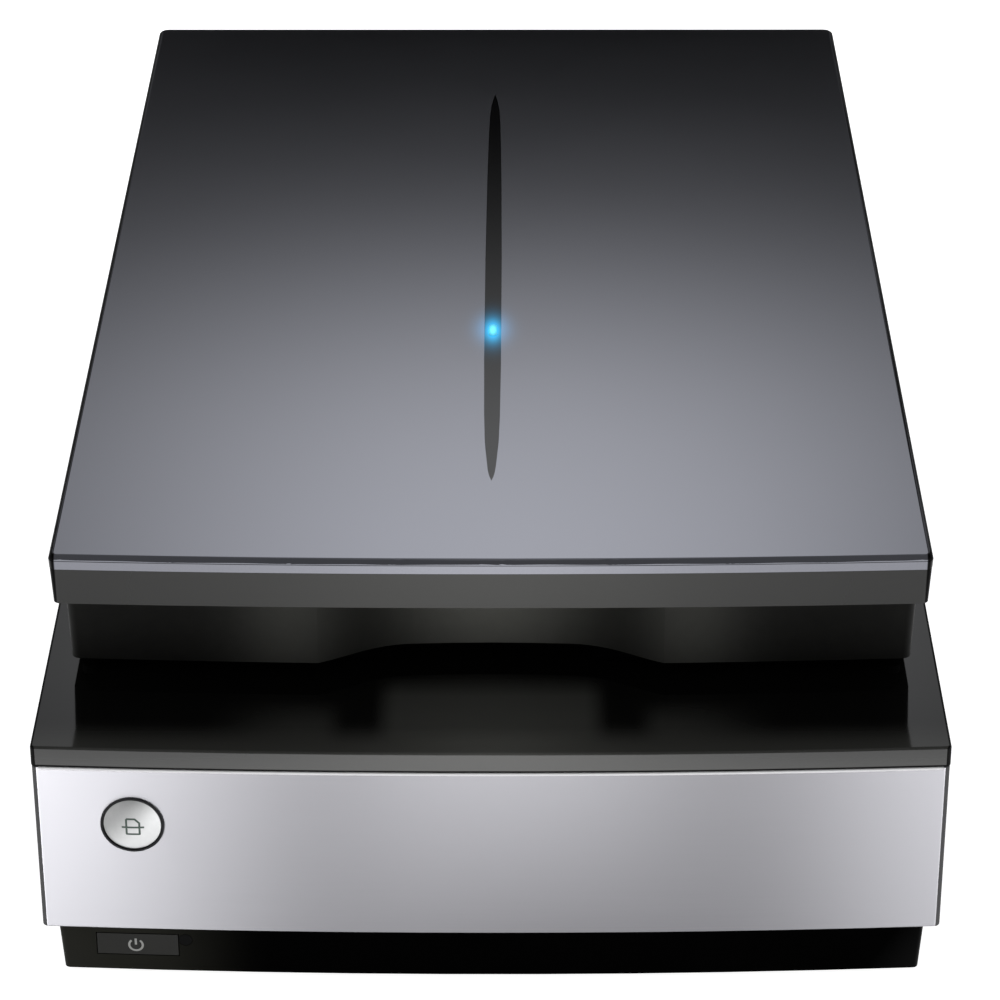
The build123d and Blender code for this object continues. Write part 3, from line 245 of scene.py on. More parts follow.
def panel_silver():
    """The front panel: satin silver with fine lines along X, which spread light upwards and downwards;
    painted shade darkens its foot, most in the middle, and two patches between its middle and its ends.
    """
    finish = Finish("panel_silver", Metallic=1.0, Anisotropic=0.8, Anisotropic_Rotation=0.25)
    lines = finish.noise(0.0003, detail=3.0, roughness=0.7, stretch=(0.006, 0.2, 1.0))
    low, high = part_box("front_panel")
    # painted shade: the silver darkens towards the bottom, most in the middle
    height = finish.spread(finish.coordinate("Object", "Z"), low.z, high.z, 0, 1)
    middle = finish.hump(finish.coordinate("Object", "X"), 0.02, 0.095)
    painted_shade_foot = finish.blend(middle, rgb(0.3, 0.298, 0.316), rgb(0.195, 0.193, 0.205))
    satin = finish.blend(height, painted_shade_foot, rgb(0.325, 0.322, 0.342))
    # painted shade: two darker dips between the bright middle and the bright ends
    for side, reach, depth in PANEL_PAINTED_DIPS:
        shoulder = finish.hump(finish.coordinate("Object", "X"), side, reach)
        satin = finish.blend(finish.math("MULTIPLY", shoulder, depth), satin, rgb(0.12, 0.119, 0.127))
    light = finish.blend(0.5, satin, rgb(0.345, 0.342, 0.362))
    finish.colour(finish.blend(finish.spread(lines, 0.35, 0.65, 0, 0.12), satin, light))
    finish.feed(finish.shader.inputs["Roughness"], finish.spread(lines, 0.35, 0.65, 0.45, 0.48))
    finish.bump(lines, 0.000001)
    tangent = finish.node("ShaderNodeTangent", direction_type="RADIAL", axis="Z")
    finish.feed(finish.shader.inputs["Tangent"], tangent.outputs["Tangent"])
    return finish.material


def button_silver():
    """The start cap: silver paint, with painted shade above on the left and a painted highlight below on the
    right.
    """
    finish = Finish("button_silver", Metallic=0.8)
    low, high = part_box("start_button")
    middle = (low + high) / 2
    radius = (high.x - low.x) / 2
    across = finish.math("SUBTRACT", finish.coordinate("Object", "X"), middle.x)
    down = finish.math("SUBTRACT", middle.z, finish.coordinate("Object", "Z"))
    # painted shade and painted highlight across the cap, from upper left to lower right
    painted_light_slope = finish.spread(finish.math("ADD", across, down), -radius, radius * 0.7, 0, 1, smooth=True)
    painted_shade_tone = finish.blend(finish.noise(0.002), rgb(0.29, 0.292, 0.292), rgb(0.34, 0.343, 0.343))
    bright = finish.blend(finish.noise(0.002), rgb(0.64, 0.645, 0.645), rgb(0.72, 0.726, 0.726))
    finish.colour(finish.blend(painted_light_slope, painted_shade_tone, bright))
    finish.rough(0.28, 0.34)
    return finish.bump(finish.noise(0.0006, detail=2.0), 0.000001).material


def panel_end_painted_shade():
    """The panel's rounded ends: darker grey, painted shade."""
    return moulded("panel_end_painted_shade", (0.08, 0.08, 0.082), (0.1, 0.1, 0.102), 0.6, Specular_IOR_Level=0.1)


def lid_metallic():
    """The lid's top skin: dark satin metallic paint with fine flake, and painted blue light round the lamp.
    """
    finish = Finish("lid_metallic", Metallic=1.0)
    flake = finish.noise(0.0004, detail=2.0)
    sparkle = finish.spread(flake, 0.3, 0.7, 0, 1)
    finish.colour(finish.blend(sparkle, rgb(0.198, 0.201, 0.226), rgb(0.212, 0.216, 0.243)))
    finish.rough(0.07, 0.08, 0.1)
    # painted light: a blue glow on the skin round the lamp
    finish.glow(LIGHT_CENTRE, [(5.4 * MM, 11.0 * MM, 0.5)], PAINTED_GLOW_ON_SKIN)
    return finish.paint_corner_shade(*LID_PAINTED_SHADE_CORNERS).material


def lid_rim():
    """The lid's lower rim: dark satin plastic, with painted light across the middle of its front."""
    finish = Finish("lid_rim", Specular_IOR_Level=0.42)
    # painted light: the middle of the front is lighter than the ends
    middle = finish.hump(finish.coordinate("Object", "X"), 0.0, 0.085)
    ends = finish.blend(finish.noise(0.02), rgb(0.008, 0.008, 0.007), rgb(0.01, 0.01, 0.009))
    finish.colour(finish.blend(middle, ends, rgb(0.04, 0.04, 0.036)))
    return finish.rough(0.2, 0.24, 0.03).paint_corner_shade(*LID_PAINTED_SHADE_CORNERS).material


def painted_shade_edge():
    """The rounded ends of the dark parts: black and matt, painted shade."""
    return moulded("painted_shade_edge", (0.003, 0.003, 0.003), (0.005, 0.005, 0.005), 0.6, Specular_IOR_Level=0.06)


def deck_dark():
    """The deck: glossy dark grey plastic, with painted shadow near the lid, painted light along the front
    edge, strongest in the middle, and painted reflections of the lid's finger recess in front of it.
    """
    finish = Finish("deck_dark", Specular_IOR_Level=0.31)
    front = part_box("upper_frame")[0].y
    y = finish.coordinate("Object", "Y")
    off_middle = finish.math("ABSOLUTE", finish.coordinate("Object", "X"))
    # painted shadow under the lid, turning to painted light along the front edge
    ahead = finish.spread(y, front + 22 * MM, front + 4 * MM, 0, 1, smooth=True)
    middle = finish.hump(off_middle, 0.0, 0.035)
    painted_reflection_colour = rgb(0.1, 0.1, 0.091)
    lit = finish.blend(middle, rgb(0.045, 0.045, 0.041), painted_reflection_colour)
    dark = finish.blend(finish.noise(0.05), rgb(0.005, 0.005, 0.0047), rgb(0.007, 0.007, 0.0066))
    # painted reflections: lighter patches in front of the finger recess and its sides
    middle_width = finish.spread(off_middle, 41 * MM, 31 * MM, 0, 1, smooth=True)
    middle_depth = finish.spread(y, front + 49 * MM, front + 36 * MM, 0, 1)
    middle_painted_reflection = finish.math("MULTIPLY", middle_width, middle_depth)
    side_outer = finish.spread(off_middle, 100 * MM, 58 * MM, 0, 0.55, smooth=True)
    side_inner = finish.spread(off_middle, 48 * MM, 58 * MM, 0, 1, smooth=True)
    side_depth = finish.spread(y, front + 34 * MM, front + 18 * MM, 0, 1)
    side_painted_reflection = finish.math("MULTIPLY", finish.math("MULTIPLY", side_outer, side_inner), side_depth)
    painted_reflections = finish.math("ADD", middle_painted_reflection, side_painted_reflection)
    finish.colour(finish.blend(ahead, finish.blend(painted_reflections, dark, painted_reflection_colour), lit))
    return finish.rough(0.06, 0.08, 0.03).material


def deck_strip():
    """The deck's polished front strip: painted light low down and in the middle, darker upwards, and a
    black, dull painted shadow line along its foot.
    """
    finish = Finish("deck_strip")
    height = finish.coordinate("Object", "Z")
    # painted light and shade: lighter low down and in the middle, darker upwards; painted shadow: a dull
    # black line along the foot
    rise = finish.spread(height, STRIP_BOTTOM + 1.0 * MM, STRIP_BOTTOM + 6.5 * MM, 0, 1)
    shade = finish.blend(rise, rgb(0.033, 0.033, 0.0305), rgb(0.01, 0.01, 0.009))
    middle = finish.hump(finish.coordinate("Object", "X"), 0.0, 0.07)
    shade = finish.blend(middle, shade, rgb(0.06, 0.06, 0.056))
    painted_shade_foot = finish.spread(height, STRIP_BOTTOM + 0.75 * MM, STRIP_BOTTOM + 1.0 * MM, 0, 1)
    finish.colour(finish.blend(painted_shade_foot, rgb(0.004, 0.004, 0.004), shade))
    finish.feed(finish.shader.inputs["Specular IOR Level"], finish.spread(painted_shade_foot, 0, 1, 0.05, 0.78))
    return finish.rough(0.14, 0.17, 0.03).material


def case_black():
    """The lower case: satin black, with painted shade that makes the front dull black and painted light that
    makes it a little lighter grey towards the power key.
    """
    finish = Finish("case_black")
    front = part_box("lower_case")[0].y
    behind = finish.spread(finish.coordinate("Object", "Y"), front + 6 * MM, front + 16 * MM, 0, 1)
    # painted shade: the front is near black; painted light: it turns grey towards the power key
    painted_light_towards_key = finish.spread(finish.coordinate("Object", "X"), -0.075, -0.13, 0, 1, smooth=True)
    black = finish.blend(finish.noise(0.02), rgb(0.0008, 0.0008, 0.0008), rgb(0.0014, 0.0014, 0.0014))
    grey = finish.blend(finish.noise(0.02), rgb(0.018, 0.018, 0.015), rgb(0.023, 0.023, 0.019))
    satin = finish.blend(finish.noise(0.02), rgb(0.014, 0.014, 0.0145), rgb(0.019, 0.019, 0.0195))
    finish.colour(finish.blend(behind, finish.blend(painted_light_towards_key, black, grey), satin))
    finish.feed(finish.shader.inputs["Specular IOR Level"], finish.math("MULTIPLY", behind, 0.35))
    finish.rough(0.42, 0.5)
    return finish.bump(finish.noise(0.0006, detail=2.0), 0.00001).material


# how far from the middle the sides of the finger recess curve into the wall
RECESS_SHOULDER = 42 * MM


def frame_black():
    """The lid's lower frame: black with a leathery moulded grain, and painted light on the middle of its
    front and, more faintly, to each side of it.
    """
    finish = Finish("frame_black")
    x = finish.coordinate("Object", "X")
    # painted light: lighter in the middle of the front and faintly to each side
    middle = finish.hump(x, 0.0, 30 * MM)
    dark = finish.blend(finish.noise(0.004), rgb(0.007, 0.007, 0.0063), rgb(0.012, 0.012, 0.0108))
    light = finish.blend(finish.noise(0.004), rgb(0.16, 0.16, 0.144), rgb(0.18, 0.18, 0.162))
    off_middle = finish.math("ABSOLUTE", x)
    painted_light_beside = finish.math("MULTIPLY", finish.hump(off_middle, 68 * MM, 18 * MM), 0.32)
    finish.colour(finish.blend(painted_light_beside, finish.blend(middle, dark, light), light))
    shoulder = finish.hump(off_middle, RECESS_SHOULDER, 9 * MM)
    gloss = finish.math("SUBTRACT", 0.09, finish.math("MULTIPLY", shoulder, 0.07))
    finish.feed(finish.shader.inputs["Specular IOR Level"], gloss)
    finish.rough(0.5, 0.6, 0.01)
    return finish.bump(finish.cells(0.0009), 0.00002, 0.5).material


def groove_dark():
    """The inlay in the lid's groove: glossy black, with painted blue light round the lamp."""
    finish = Finish("groove_dark").mottled((0.0008, 0.0008, 0.001), (0.0012, 0.0012, 0.0014))
    low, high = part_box("light_groove")
    gloss = finish.spread(finish.coordinate("Object", "Y"), high.y - 40 * MM, low.y + 40 * MM, 0.03, 0.25)
    finish.feed(finish.shader.inputs["Specular IOR Level"], gloss)
    finish.rough(0.05, 0.06)
    # painted light: blue glow on the inlay round the lamp
    lobes = [(2.6 * MM, 7.2 * MM, 1.0), (4.4 * MM, 12.0 * MM, 0.5)]
    return finish.glow(LIGHT_CENTRE, lobes, PAINTED_GLOW_ON_INLAY).material


def blue_light():
    """The lit lens: white-cyan in the middle and blue at its ends."""
    finish = Finish("blue_light", Roughness=0.3).mottled((0.02, 0.3, 0.6), (0.03, 0.35, 0.65), 0.002)
    lobes = [(1.1 * MM, 3.4 * MM, 1.1), (4.0 * MM, 8.0 * MM, 0.5)]
    return finish.glow(LIGHT_CENTRE, lobes, GLOW_OF_LENS).material


def clear(name, tint, roughness, ior):
    """Clear glass or acrylic."""
    finish = Finish(name, Transmission_Weight=1.0, IOR=ior)
    finish.mottled(tuple(c * 0.97 for c in tint), tint, 0.05)
    return finish.rough(roughness, roughness + 0.01).material


def circuit_board():
    """Green solder mask over copper tracks."""
    finish = Finish("circuit_board", Roughness=0.35)
    tracks = finish.node("ShaderNodeTexBrick", offset=0.5)
    finish.feed(tracks.inputs["Vector"], finish.place((400, 400, 400)))
    tracks.inputs["Scale"].default_value = 1.0
    tracks.inputs["Mortar Size"].default_value = 0.06
    tracks.inputs["Color1"].default_value = rgb(0.01, 0.09, 0.03)
    tracks.inputs["Color2"].default_value = rgb(0.012, 0.11, 0.035)
    tracks.inputs["Mortar"].default_value = rgb(0.02, 0.16, 0.06)
    finish.colour(tracks.outputs["Color"])
    return finish.bump(tracks.outputs["Fac"], 0.00002).material


# plain mouldings: (darker shade, lighter shade, roughness, further settings)
MOULDED = {
    "ring_dark": ((0.006, 0.006, 0.008), (0.01, 0.01, 0.012), 0.45, {"Specular_IOR_Level": 0.2}),
    "indicator_lens": ((0.001, 0.001, 0.001), (0.002, 0.002, 0.002), 0.3, {"Specular_IOR_Level": 0.05}),
    "tape": ((0.01, 0.01, 0.01), (0.016, 0.016, 0.016), 0.6, {}),
    "white_plastic": ((0.72, 0.72, 0.7), (0.8, 0.8, 0.78), 0.4, {}),
    "rubber": ((0.012, 0.012, 0.012), (0.02, 0.02, 0.02), 0.75, {"depth": 0.00002}),
    "belt_rubber": ((0.01, 0.01, 0.01), (0.016, 0.016, 0.016), 0.65, {}),
    "socket_black": ((0.01, 0.01, 0.01), (0.016, 0.016, 0.016), 0.35, {}),
    "button_dark": ((0.024, 0.024, 0.022), (0.029, 0.029, 0.027), 0.5, {"Specular_IOR_Level": 0.1}),
    "lock_plastic": ((0.2, 0.2, 0.205), (0.25, 0.25, 0.255), 0.45, {}),
    "carriage_plastic": ((0.012, 0.012, 0.013), (0.022, 0.022, 0.023), 0.55, {}),
    "lamp_bar": ((0.8, 0.8, 0.77), (0.86, 0.86, 0.83), 0.3, {}),
    "hinge_plastic": ((0.014, 0.014, 0.014), (0.02, 0.02, 0.02), 0.4, {}),
    "diffuser": ((0.78, 0.78, 0.78), (0.85, 0.85, 0.85), 0.3, {"depth": 0.000002}),
    "mat_black": ((0.012, 0.012, 0.012), (0.02, 0.02, 0.02), 0.5, {}),
    "mat_white": ((0.78, 0.78, 0.77), (0.84, 0.84, 0.83), 0.7, {}),
}

# metals: (darker shade, lighter shade, roughness, axis that the fine lines run along)
METALS = {
    "ground_steel": ((0.6, 0.6, 0.61), (0.7, 0.7, 0.71), 0.18, 0),
    "sheet_steel": ((0.5, 0.51, 0.53), (0.6, 0.61, 0.63), 0.35, 1),
    "motor_can": ((0.42, 0.42, 0.44), (0.52, 0.52, 0.54), 0.35, 2),
    "socket_shell": ((0.5, 0.5, 0.5), (0.62, 0.62, 0.62), 0.3, 1),
    "screw_steel": ((0.3, 0.3, 0.31), (0.42, 0.42, 0.43), 0.3, 1),
    "brass_gear": ((0.62, 0.46, 0.2), (0.75, 0.57, 0.27), 0.28, 2),
    "bronze": ((0.4, 0.26, 0.12), (0.52, 0.35, 0.18), 0.45, 1),
    "mirror": ((0.85, 0.85, 0.86), (0.9, 0.9, 0.91), 0.06, 0),
    "lens_barrel": ((0.02, 0.02, 0.022), (0.04, 0.04, 0.042), 0.35, 1),
}

# clear parts: (tint, roughness, refractive index)
CLEAR = {
    "glass": ((0.93, 0.97, 0.95), 0.0, 1.5),
    "clear_plastic": ((0.95, 0.96, 0.96), 0.05, 1.49),
}

# finishes with a function of their own, which is named after the slot
SPECIAL = [
    case_black, deck_dark, panel_silver, circuit_board, button_silver, lid_metallic, groove_dark,
    blue_light, frame_black,
]


def make_finishes():
    """Every record slot's material."""
    made = {build.__name__: build() for build in SPECIAL}
    for slot, (dark, light, roughness, settings) in MOULDED.items():
        made[slot] = moulded(slot, dark, light, roughness, **settings)
    for slot, values in METALS.items():
        made[slot] = brushed(slot, *values)
    for slot, values in CLEAR.items():
        made[slot] = clear(slot, *values)
    return made


def dress_cad_nodes():
    """Gives every CAD node the finish of its record slot."""
    made = make_finishes()
    for row in frame["record"]["subparts"]:
        mesh = nodes[row["node"]].data
        mesh.materials.clear()
        mesh.materials.append(made[row["material_slot"]])
    return made


def paint_faces(node, material, wanted):
    """Gives the faces that wanted(centre, normal) picks a second material."""
    mesh = nodes[node].data
    mesh.materials.append(material)
    index = len(mesh.materials) - 1
    for face in mesh.polygons:
        if wanted(face.center, face.normal):
            face.material_index = index


def dress_edges():
    """Second finishes on the same mouldings: rim, strip and the ends in painted shade."""
    edge = painted_shade_edge()
    rim_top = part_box("lid_cover")[1].z - 3 * MM
    edge_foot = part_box("upper_frame")[1].z - 8 * MM

    def under_rim(centre, _):
        return centre.z < rim_top

    def lid_end(centre, normal):
        return abs(normal.x) > 0.3 and centre.z > rim_top

    def front_strip(centre, normal):
        return normal.y < -0.9 and centre.z > STRIP_BOTTOM

    def deck_end(centre, normal):
        return abs(normal.x) > 0.2 and centre.z > edge_foot

    def panel_side(_, normal):
        return abs(normal.x) > 0.2

    paint_faces("lid_cover", lid_rim(), under_rim)
    paint_faces("lid_cover", edge, lid_end)
    paint_faces("upper_frame", deck_strip(), front_strip)
    paint_faces("upper_frame", edge, deck_end)
    paint_faces("front_panel", panel_end_painted_shade(), panel_side)


# ---- new pieces ----
# the front edges bulge forward by these amounts
LID_BOW = 3.2 * MM
PANEL_BOW = 4.04 * MM
# the lid narrows downwards: by this much in width, at its front and at its back
LID_SIDE_DRAFT = 1.7 * MM
LID_FRONT_DRAFT = 0.9 * MM
LID_BACK_DRAFT = 0.4 * MM
LID_FRONT_CORNER = 2.5 * MM
LID_BACK_CORNER = 4 * MM
# sections as (outwards, upwards) in millimetres from the edge that they follow
LIP_SECTION = [(-0.3, -5.2), (0.1, -5.2), (0.22, -5.05), (0.22, -1.95), (0.12, -1.8), (-0.3, -1.7)]
BEAD_SECTION = [(-0.3, -0.2), (0.06, -1.0), (0.08, -0.75), (0.0, -0.3), (-0.3, -0.05)]
BEAD_END_GAP = 2.2 * MM
# the printed signs, in millimetres
PAGE_SIGN = [(-2.2, 3.0), (-2.2, -3.0), (2.2, -3.0), (2.2, 1.5), (0.7, 3.0), (-2.2, 3.0)]
SCAN_LINE = [(-3.8, -0.2), (3.8, -0.2)]
PAGE_STROKE = 0.7 * MM
RING_RADIUS = 2.35 * MM
RING_GAP = 76
RING_STROKE = 0.75 * MM
BAR_FOOT = 0.1 * MM
BAR_TOP = 2.7 * MM
RING_DROP = 0.3 * MM
MARK_HEIGHT = 0.03 * MM


def add_piece(name, build, material, body, crease=35):
    """Turns a bmesh into an object that rides on a CAD body; edges over crease degrees stay sharp."""
    mesh = bpy.data.meshes.new(name)
    build.to_mesh(mesh)
    build.free()
    mesh.polygons.foreach_set("use_smooth", [True] * len(mesh.polygons))
    mesh.set_sharp_from_angle(angle=math.radians(crease))
    mesh.materials.append(material)
    piece = bpy.data.objects.new(name, mesh)
    bpy.context.scene.collection.objects.link(piece)
    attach(piece, body)
    return piece


def rounded(corners):
    """Points round a polygon whose corners are (point, radius); a radius of 0 keeps the corner."""
    points = []
    for index, (corner, radius) in enumerate(corners):
        if radius == 0:
            points.append(corner)
            continue
        back = (corners[index - 1][0] - corner).normalized()
        ahead = (corners[(index + 1) % len(corners)][0] - corner).normalized()
        half_angle = back.angle(ahead) / 2
        centre = corner + (back + ahead).normalized() * radius / math.sin(half_angle)
        start = corner + back * radius / math.tan(half_angle) - centre
        end = corner + ahead * radius / math.tan(half_angle) - centre
        for step in range(9):
            points.append(centre + start.lerp(end, step / 8).normalized() * radius)
    return points


def bowed_outline(width, front, bow, back, z, front_corner, back_corner):
    """The outline at height z of a rectangle whose front bulges by bow, from its left front corner."""
    half = width / 2
    radius = (half**2 + bow**2) / (2 * bow)
    corners = [(Vector((-half, front + bow, z)), front_corner)]
    for step in range(1, 40):
        x = -half + width * step / 40
        corners.append((Vector((x, front + radius - math.sqrt(radius**2 - x**2), z)), 0))
    corners.append((Vector((half, front + bow, z)), front_corner))
    corners.append((Vector((half, back, z)), back_corner))
    corners.append((Vector((-half, back, z)), back_corner))
    return rounded(corners)


def band(name, rings, material, body):
    """A closed hoop whose cross-section runs through the rings."""
    build = bmesh.new()
    loops = [[build.verts.new(point) for point in ring] for ring in rings]
    count = len(loops[0])
    for row, loop in enumerate(loops):
        following = loops[(row + 1) % len(loops)]
        for i in range(count):
            j = (i + 1) % count
            build.faces.new((loop[i], loop[j], following[j], following[i]))
    bmesh.ops.recalc_face_normals(build, faces=build.faces)
    return add_piece(name, build, material, body, crease=14)


def lid_outline(z, grow):
    """The lid's outline at a height, grown outwards: its sides lean out a little towards the top."""
    low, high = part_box("lid_cover")
    share = (z - low.z) / (high.z - low.z)
    width = (high.x - low.x) - LID_SIDE_DRAFT * (1 - share)
    front = low.y + LID_FRONT_DRAFT * (1 - share)
    back = high.y - LID_BACK_DRAFT * share
    corners = (LID_FRONT_CORNER + grow, LID_BACK_CORNER + grow)
    return bowed_outline(width + 2 * grow, front - grow, LID_BOW, back + grow, z, *corners)


def lid_lip(made):
    """The metallic skin's edge, folded down over the rim all round."""
    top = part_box("lid_cover")[1].z
    rings = [lid_outline(top + z * MM, grow * MM) for grow, z in LIP_SECTION]
    band("lid_skin_lip", rings, made["lid_metallic"], "lid")


def panel_bead():
    """The bevel along the top of the silver panel, near white: a painted highlight."""
    low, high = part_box("front_panel")
    width = high.x - low.x
    half = width / 2 - BEAD_END_GAP
    radius = ((width / 2) ** 2 + PANEL_BOW**2) / (2 * PANEL_BOW)
    build = bmesh.new()
    rows = []
    for step in range(61):
        x = -half + 2 * half * step / 60
        front = low.y + radius - math.sqrt(radius**2 - x**2)
        rows.append([build.verts.new((x, front - out * MM, high.z + z * MM)) for out, z in BEAD_SECTION])
    for first, second in zip(rows, rows[1:]):
        for i in range(len(BEAD_SECTION)):
            j = (i + 1) % len(BEAD_SECTION)
            build.faces.new((first[i], first[j], second[j], second[i]))
    build.faces.new(rows[0])
    build.faces.new(list(reversed(rows[-1])))
    bmesh.ops.recalc_face_normals(build, faces=build.faces)
    # painted highlight: the bevel is near white
    bevel = moulded("panel_bevel_painted_highlight", (0.88, 0.88, 0.89), (0.93, 0.93, 0.94), 0.45)
    add_piece("panel_bead", build, bevel, "base")


def stroke(build, surface, line, width):
    """A flat ribbon laid on a surface; surface(u, v) gives a point on it."""
    points = []
    for (u0, v0), (u1, v1) in zip(line, line[1:]):
        steps = max(1, round(math.hypot(u1 - u0, v1 - v0) / (0.25 * MM)))
        for step in range(steps):
            points.append(Vector((u0 + (u1 - u0) * step / steps, v0 + (v1 - v0) * step / steps)))
    points.append(Vector(line[-1]))
    rows = []
    for index, point in enumerate(points):
        along = points[min(index + 1, len(points) - 1)] - points[max(index - 1, 0)]
        side = Vector((-along.y, along.x)).normalized() * width / 2
        rows.append([build.verts.new(surface(*(point + side))), build.verts.new(surface(*(point - side)))])
    for first, second in zip(rows, rows[1:]):
        build.faces.new((first[0], first[1], second[1], second[0]))


def printed_mark(name, node, centre, lines, width, material, body):
    """A printed symbol on the front of a CAD node: each line is a list of (across, up) points."""
    tree = BVHTree.FromObject(nodes[node], bpy.context.evaluated_depsgraph_get())
    spot, normal, _, _ = tree.ray_cast(Vector((centre[0], -1.0, centre[1])), Vector((0, 1, 0)))
    across = Vector((0, 0, 1)).cross(normal).normalized()
    up = normal.cross(across)

    def surface(u, v):
        start = spot + across * u + up * v + normal * 0.01
        hit = tree.ray_cast(start, -normal)[0]
        return (hit or start - normal * 0.01) + normal * MARK_HEIGHT

    build = bmesh.new()
    for line in lines:
        stroke(build, surface, line, width)
    add_piece(name, build, material, body)


def button_marks():
    """The page-and-scan-line sign on the start button and the ring-and-bar sign on the power key."""
    grey_green = moulded("mark_grey_green", (0.05, 0.08, 0.065), (0.06, 0.095, 0.075), 0.5)
    light_grey = moulded("mark_light_grey", (0.3, 0.3, 0.285), (0.34, 0.34, 0.325), 0.5)
    low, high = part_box("start_button")
    middle = ((low.x + high.x) / 2, (low.z + high.z) / 2)
    lines = [[(u * MM, v * MM) for u, v in line] for line in (PAGE_SIGN, SCAN_LINE)]
    printed_mark("start_mark", "start_button", middle, lines, PAGE_STROKE, grey_green,
                 "start_button")
    low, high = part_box("power_button")
    middle = ((low.x + high.x) / 2, (low.z + high.z) / 2 - RING_DROP)
    ring = []
    for step in range(33):
        angle = math.radians(90 + RING_GAP / 2 + (360 - RING_GAP) * step / 32)
        ring.append((RING_RADIUS * math.cos(angle), RING_RADIUS * math.sin(angle)))
    bar = [(0.0, BAR_FOOT), (0.0, BAR_TOP)]
    printed_mark("power_mark", "power_button", middle, [ring, bar], RING_STROKE, light_grey,
                 "power_button")


# ---- camera, floor and light ----
CAMERA_PLACE = Vector((0.00731, -1.31777, 0.78755))
CAMERA_PITCH = math.radians(29.11)
CAMERA_YAW = math.radians(-0.215)
CAMERA_ROLL = math.radians(-0.10)
CAMERA_LENS = 137.185


def make_camera():
    """The camera stands in front of the scanner and looks down on it, as the operator does."""
    ahead = Vector((
        math.sin(CAMERA_YAW) * math.cos(CAMERA_PITCH),
        math.cos(CAMERA_YAW) * math.cos(CAMERA_PITCH),
        -math.sin(CAMERA_PITCH),
    ))
    right = Vector((math.cos(CAMERA_YAW), -math.sin(CAMERA_YAW), 0))
    up = right.cross(ahead)
    turned_right = right * math.cos(CAMERA_ROLL) + up * math.sin(CAMERA_ROLL)
    turned_up = up * math.cos(CAMERA_ROLL) - right * math.sin(CAMERA_ROLL)
    data = bpy.data.cameras.new("camera")
    data.lens = CAMERA_LENS
    data.sensor_width = 36.0
    data.clip_end = 50.0
    camera = bpy.data.objects.new("camera", data)
    bpy.context.scene.collection.objects.link(camera)
    turn = Matrix((turned_right, turned_up, -ahead)).transposed()
    camera.matrix_world = Matrix.Translation(CAMERA_PLACE) @ turn.to_4x4()
    bpy.context.scene.camera = camera


def softbox(name, place, aim, size, radiance, tint=(1.0, 1.0, 1.0)):
    """A rectangular area light that gives the same brightness whatever its size."""
    data = bpy.data.lights.new(name, "AREA")
    data.shape = "RECTANGLE"
    data.size, data.size_y = size
    data.energy = radiance * math.pi * size[0] * size[1]
    data.color = tint
    light = bpy.data.objects.new(name, data)
    bpy.context.scene.collection.objects.link(light)
    light.location = place
    light.rotation_euler = (Vector(aim) - Vector(place)).to_track_quat("-Z", "Y").to_euler()
    light.visible_camera = False
    return light


# the cards in front of the satin panel: (name, place across, width, brightness)
PANEL_CARDS = [
    ("card_left", -0.56, 0.38, 38.0),
    ("card_middle", 0.0, 0.2, 5.0),
    ("card_right", 0.58, 0.34, 27.0),
]


def make_light():
    """Soft light from above for the matt parts, and cards that only the satin front panel mirrors."""
    overhead = softbox("overhead", (0, 1.05, 2.5), (0, 0, 0), (2.4, 1.0), 2.6)
    overhead.visible_glossy = False
    satin = bpy.data.collections.new("satin_parts")
    satin.objects.link(nodes["front_panel"])
    for name, x, width, brightness in PANEL_CARDS:
        card = softbox(name, (x, -1.2, 0.17), (x * 0.25, -0.25, 0.06), (width, 0.34), brightness)
        card.visible_diffuse = False
        card.light_linking.receiver_collection = satin


# how bright the studio is behind the scanner, by the sine of the height above the horizon
STRIP_LIGHT = [
    (0.360, 0.0), (0.377, 0.005), (0.393, 0.025), (0.405, 0.065), (0.4165, 0.15), (0.428, 0.32),
    (0.440, 0.57), (0.452, 0.83), (0.463, 1.06), (0.475, 1.22), (0.4865, 1.33), (0.497, 1.39),
    (0.52, 1.42), (0.545, 1.1), (0.59, 0.45), (0.64, 0.22),
]
# how far the strip reaches to either side, the brightest that it gets, and how bright the room is
STRIP_AZIMUTH = math.radians(8.5)
STRIP_SCALE = 1.5
SURROUND = 0.22


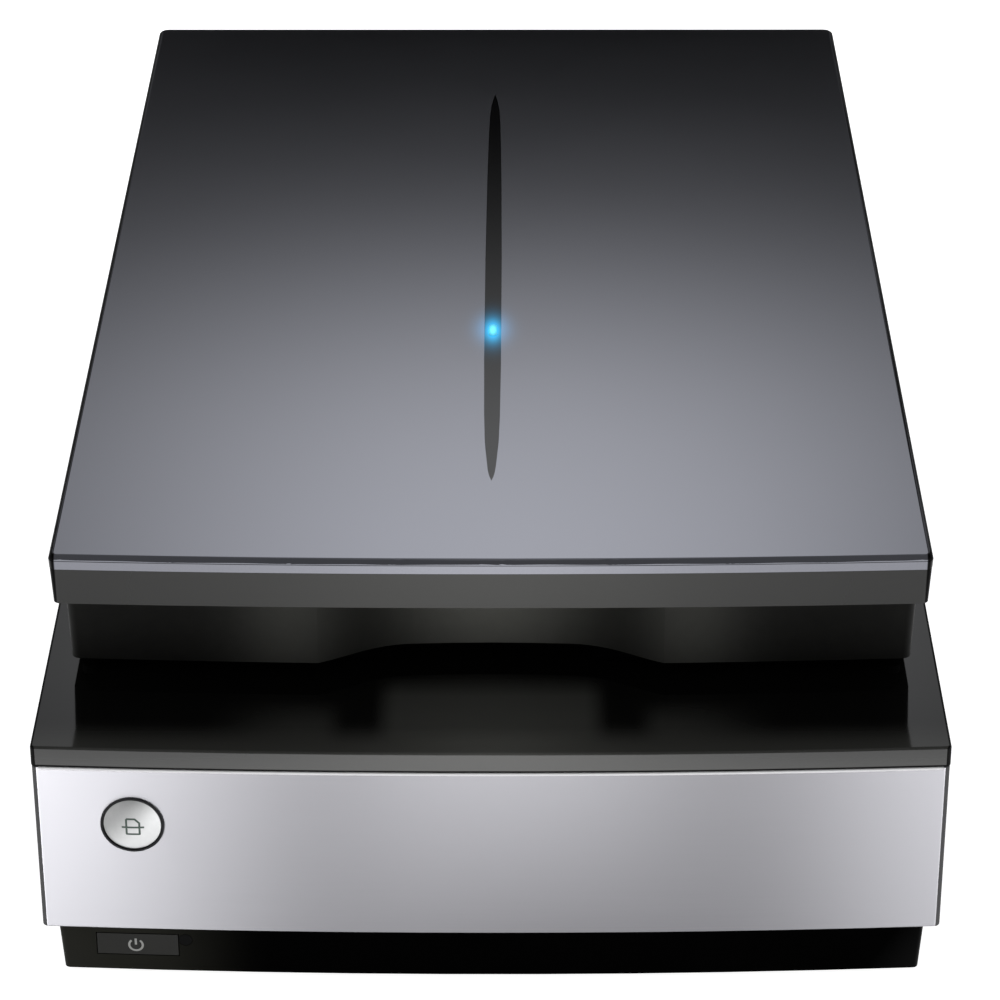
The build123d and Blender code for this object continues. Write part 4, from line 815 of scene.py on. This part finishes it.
def make_world():
    """A white backdrop for the camera; for the object, a dim room with a soft strip light behind it."""
    world = bpy.data.worlds.new("studio")
    world.use_nodes = True
    bpy.context.scene.world = world
    tree = Tree(world.node_tree)
    x = tree.coordinate("Generated", "X")
    y = tree.coordinate("Generated", "Y")
    z = tree.coordinate("Generated", "Z")
    ramp = tree.node("ShaderNodeValToRGB")
    low, high = STRIP_LIGHT[0][0], STRIP_LIGHT[-1][0]
    tree.feed(ramp.inputs["Fac"], tree.spread(z, low, high, 0, 1))
    stops = ramp.color_ramp.elements
    for sine, brightness in STRIP_LIGHT:
        position = (sine - low) / (high - low)
        if sine in (low, high):
            stop = stops[0] if sine == low else stops[-1]
        else:
            stop = stops.new(position)
        stop.position = position
        stop.color = rgb(*(brightness / STRIP_SCALE,) * 3)
    azimuth = tree.math("ARCTAN2", x, y)
    strip = tree.math("MULTIPLY", ramp.outputs["Color"], tree.hump(azimuth, 0.0, STRIP_AZIMUTH))
    below = tree.spread(z, 0.36, 0.5, 0.0, SURROUND, smooth=True)
    behind = tree.hump(azimuth, 0.0, STRIP_AZIMUTH * 2.2)
    elsewhere = tree.math("MULTIPLY", tree.math("SUBTRACT", 1.0, behind), SURROUND)
    room = tree.math("ADD", tree.math("MULTIPLY", behind, below), elsewhere)
    surround = tree.tree.nodes["Background"]
    surround.inputs["Color"].default_value = rgb(0.97, 0.98, 1.0)
    lit = tree.math("MULTIPLY", strip, STRIP_SCALE)
    tree.feed(surround.inputs["Strength"], tree.math("ADD", lit, room))
    backdrop = tree.node("ShaderNodeBackground")
    backdrop.inputs["Color"].default_value = rgb(1.0, 1.0, 1.0)
    ray = tree.node("ShaderNodeLightPath")
    mix = tree.node("ShaderNodeMixShader")
    tree.feed(mix.inputs["Fac"], ray.outputs["Is Camera Ray"])
    tree.feed(mix.inputs[1], surround.outputs["Background"])
    tree.feed(mix.inputs[2], backdrop.outputs["Background"])
    tree.feed(tree.tree.nodes["World Output"].inputs["Surface"], mix.outputs["Shader"])


# how brightly the table glows by its own light all over, and the pool of painted light on it in front of the
# scanner
TABLE_LIGHT = 0.95
PAINTED_POOL = 0.62
PAINTED_POOL_WIDTH = 0.09
TABLE_REACH = 15.0


def make_floor():
    """A wide white table top that the scanner stands on: lit, glowing evenly by its own light, and with a
    pool of painted light in front of the scanner.
    """
    mesh = bpy.data.meshes.new("floor")
    build = bmesh.new()
    bmesh.ops.create_grid(build, x_segments=8, y_segments=8, size=TABLE_REACH)
    build.to_mesh(mesh)
    build.free()
    floor = bpy.data.objects.new("floor", mesh)
    bpy.context.scene.collection.objects.link(floor)
    finish = Finish("floor_white", Specular_IOR_Level=0.1).mottled((0.88, 0.88, 0.88), (0.9, 0.9, 0.9), 0.3)
    finish.rough(0.85, 0.95)
    x = finish.coordinate("Object", "X")
    y = finish.coordinate("Object", "Y")
    # painted light: a brighter pool of emission in front of the scanner
    near = finish.spread(y, -0.28, -0.44, 0, PAINTED_POOL, smooth=True)
    near = finish.math("MULTIPLY", finish.hump(x, 0.0, PAINTED_POOL_WIDTH), near)
    finish.shader.inputs["Emission Color"].default_value = rgb(1.0, 1.0, 1.0)
    finish.feed(finish.shader.inputs["Emission Strength"], finish.math("ADD", near, TABLE_LIGHT))
    mesh.materials.append(finish.material)


made = dress_cad_nodes()
dress_edges()
lid_lip(made)
panel_bead()
button_marks()
make_camera()
make_light()
make_world()
make_floor()
bpy.context.scene.view_settings.view_transform = "Standard"
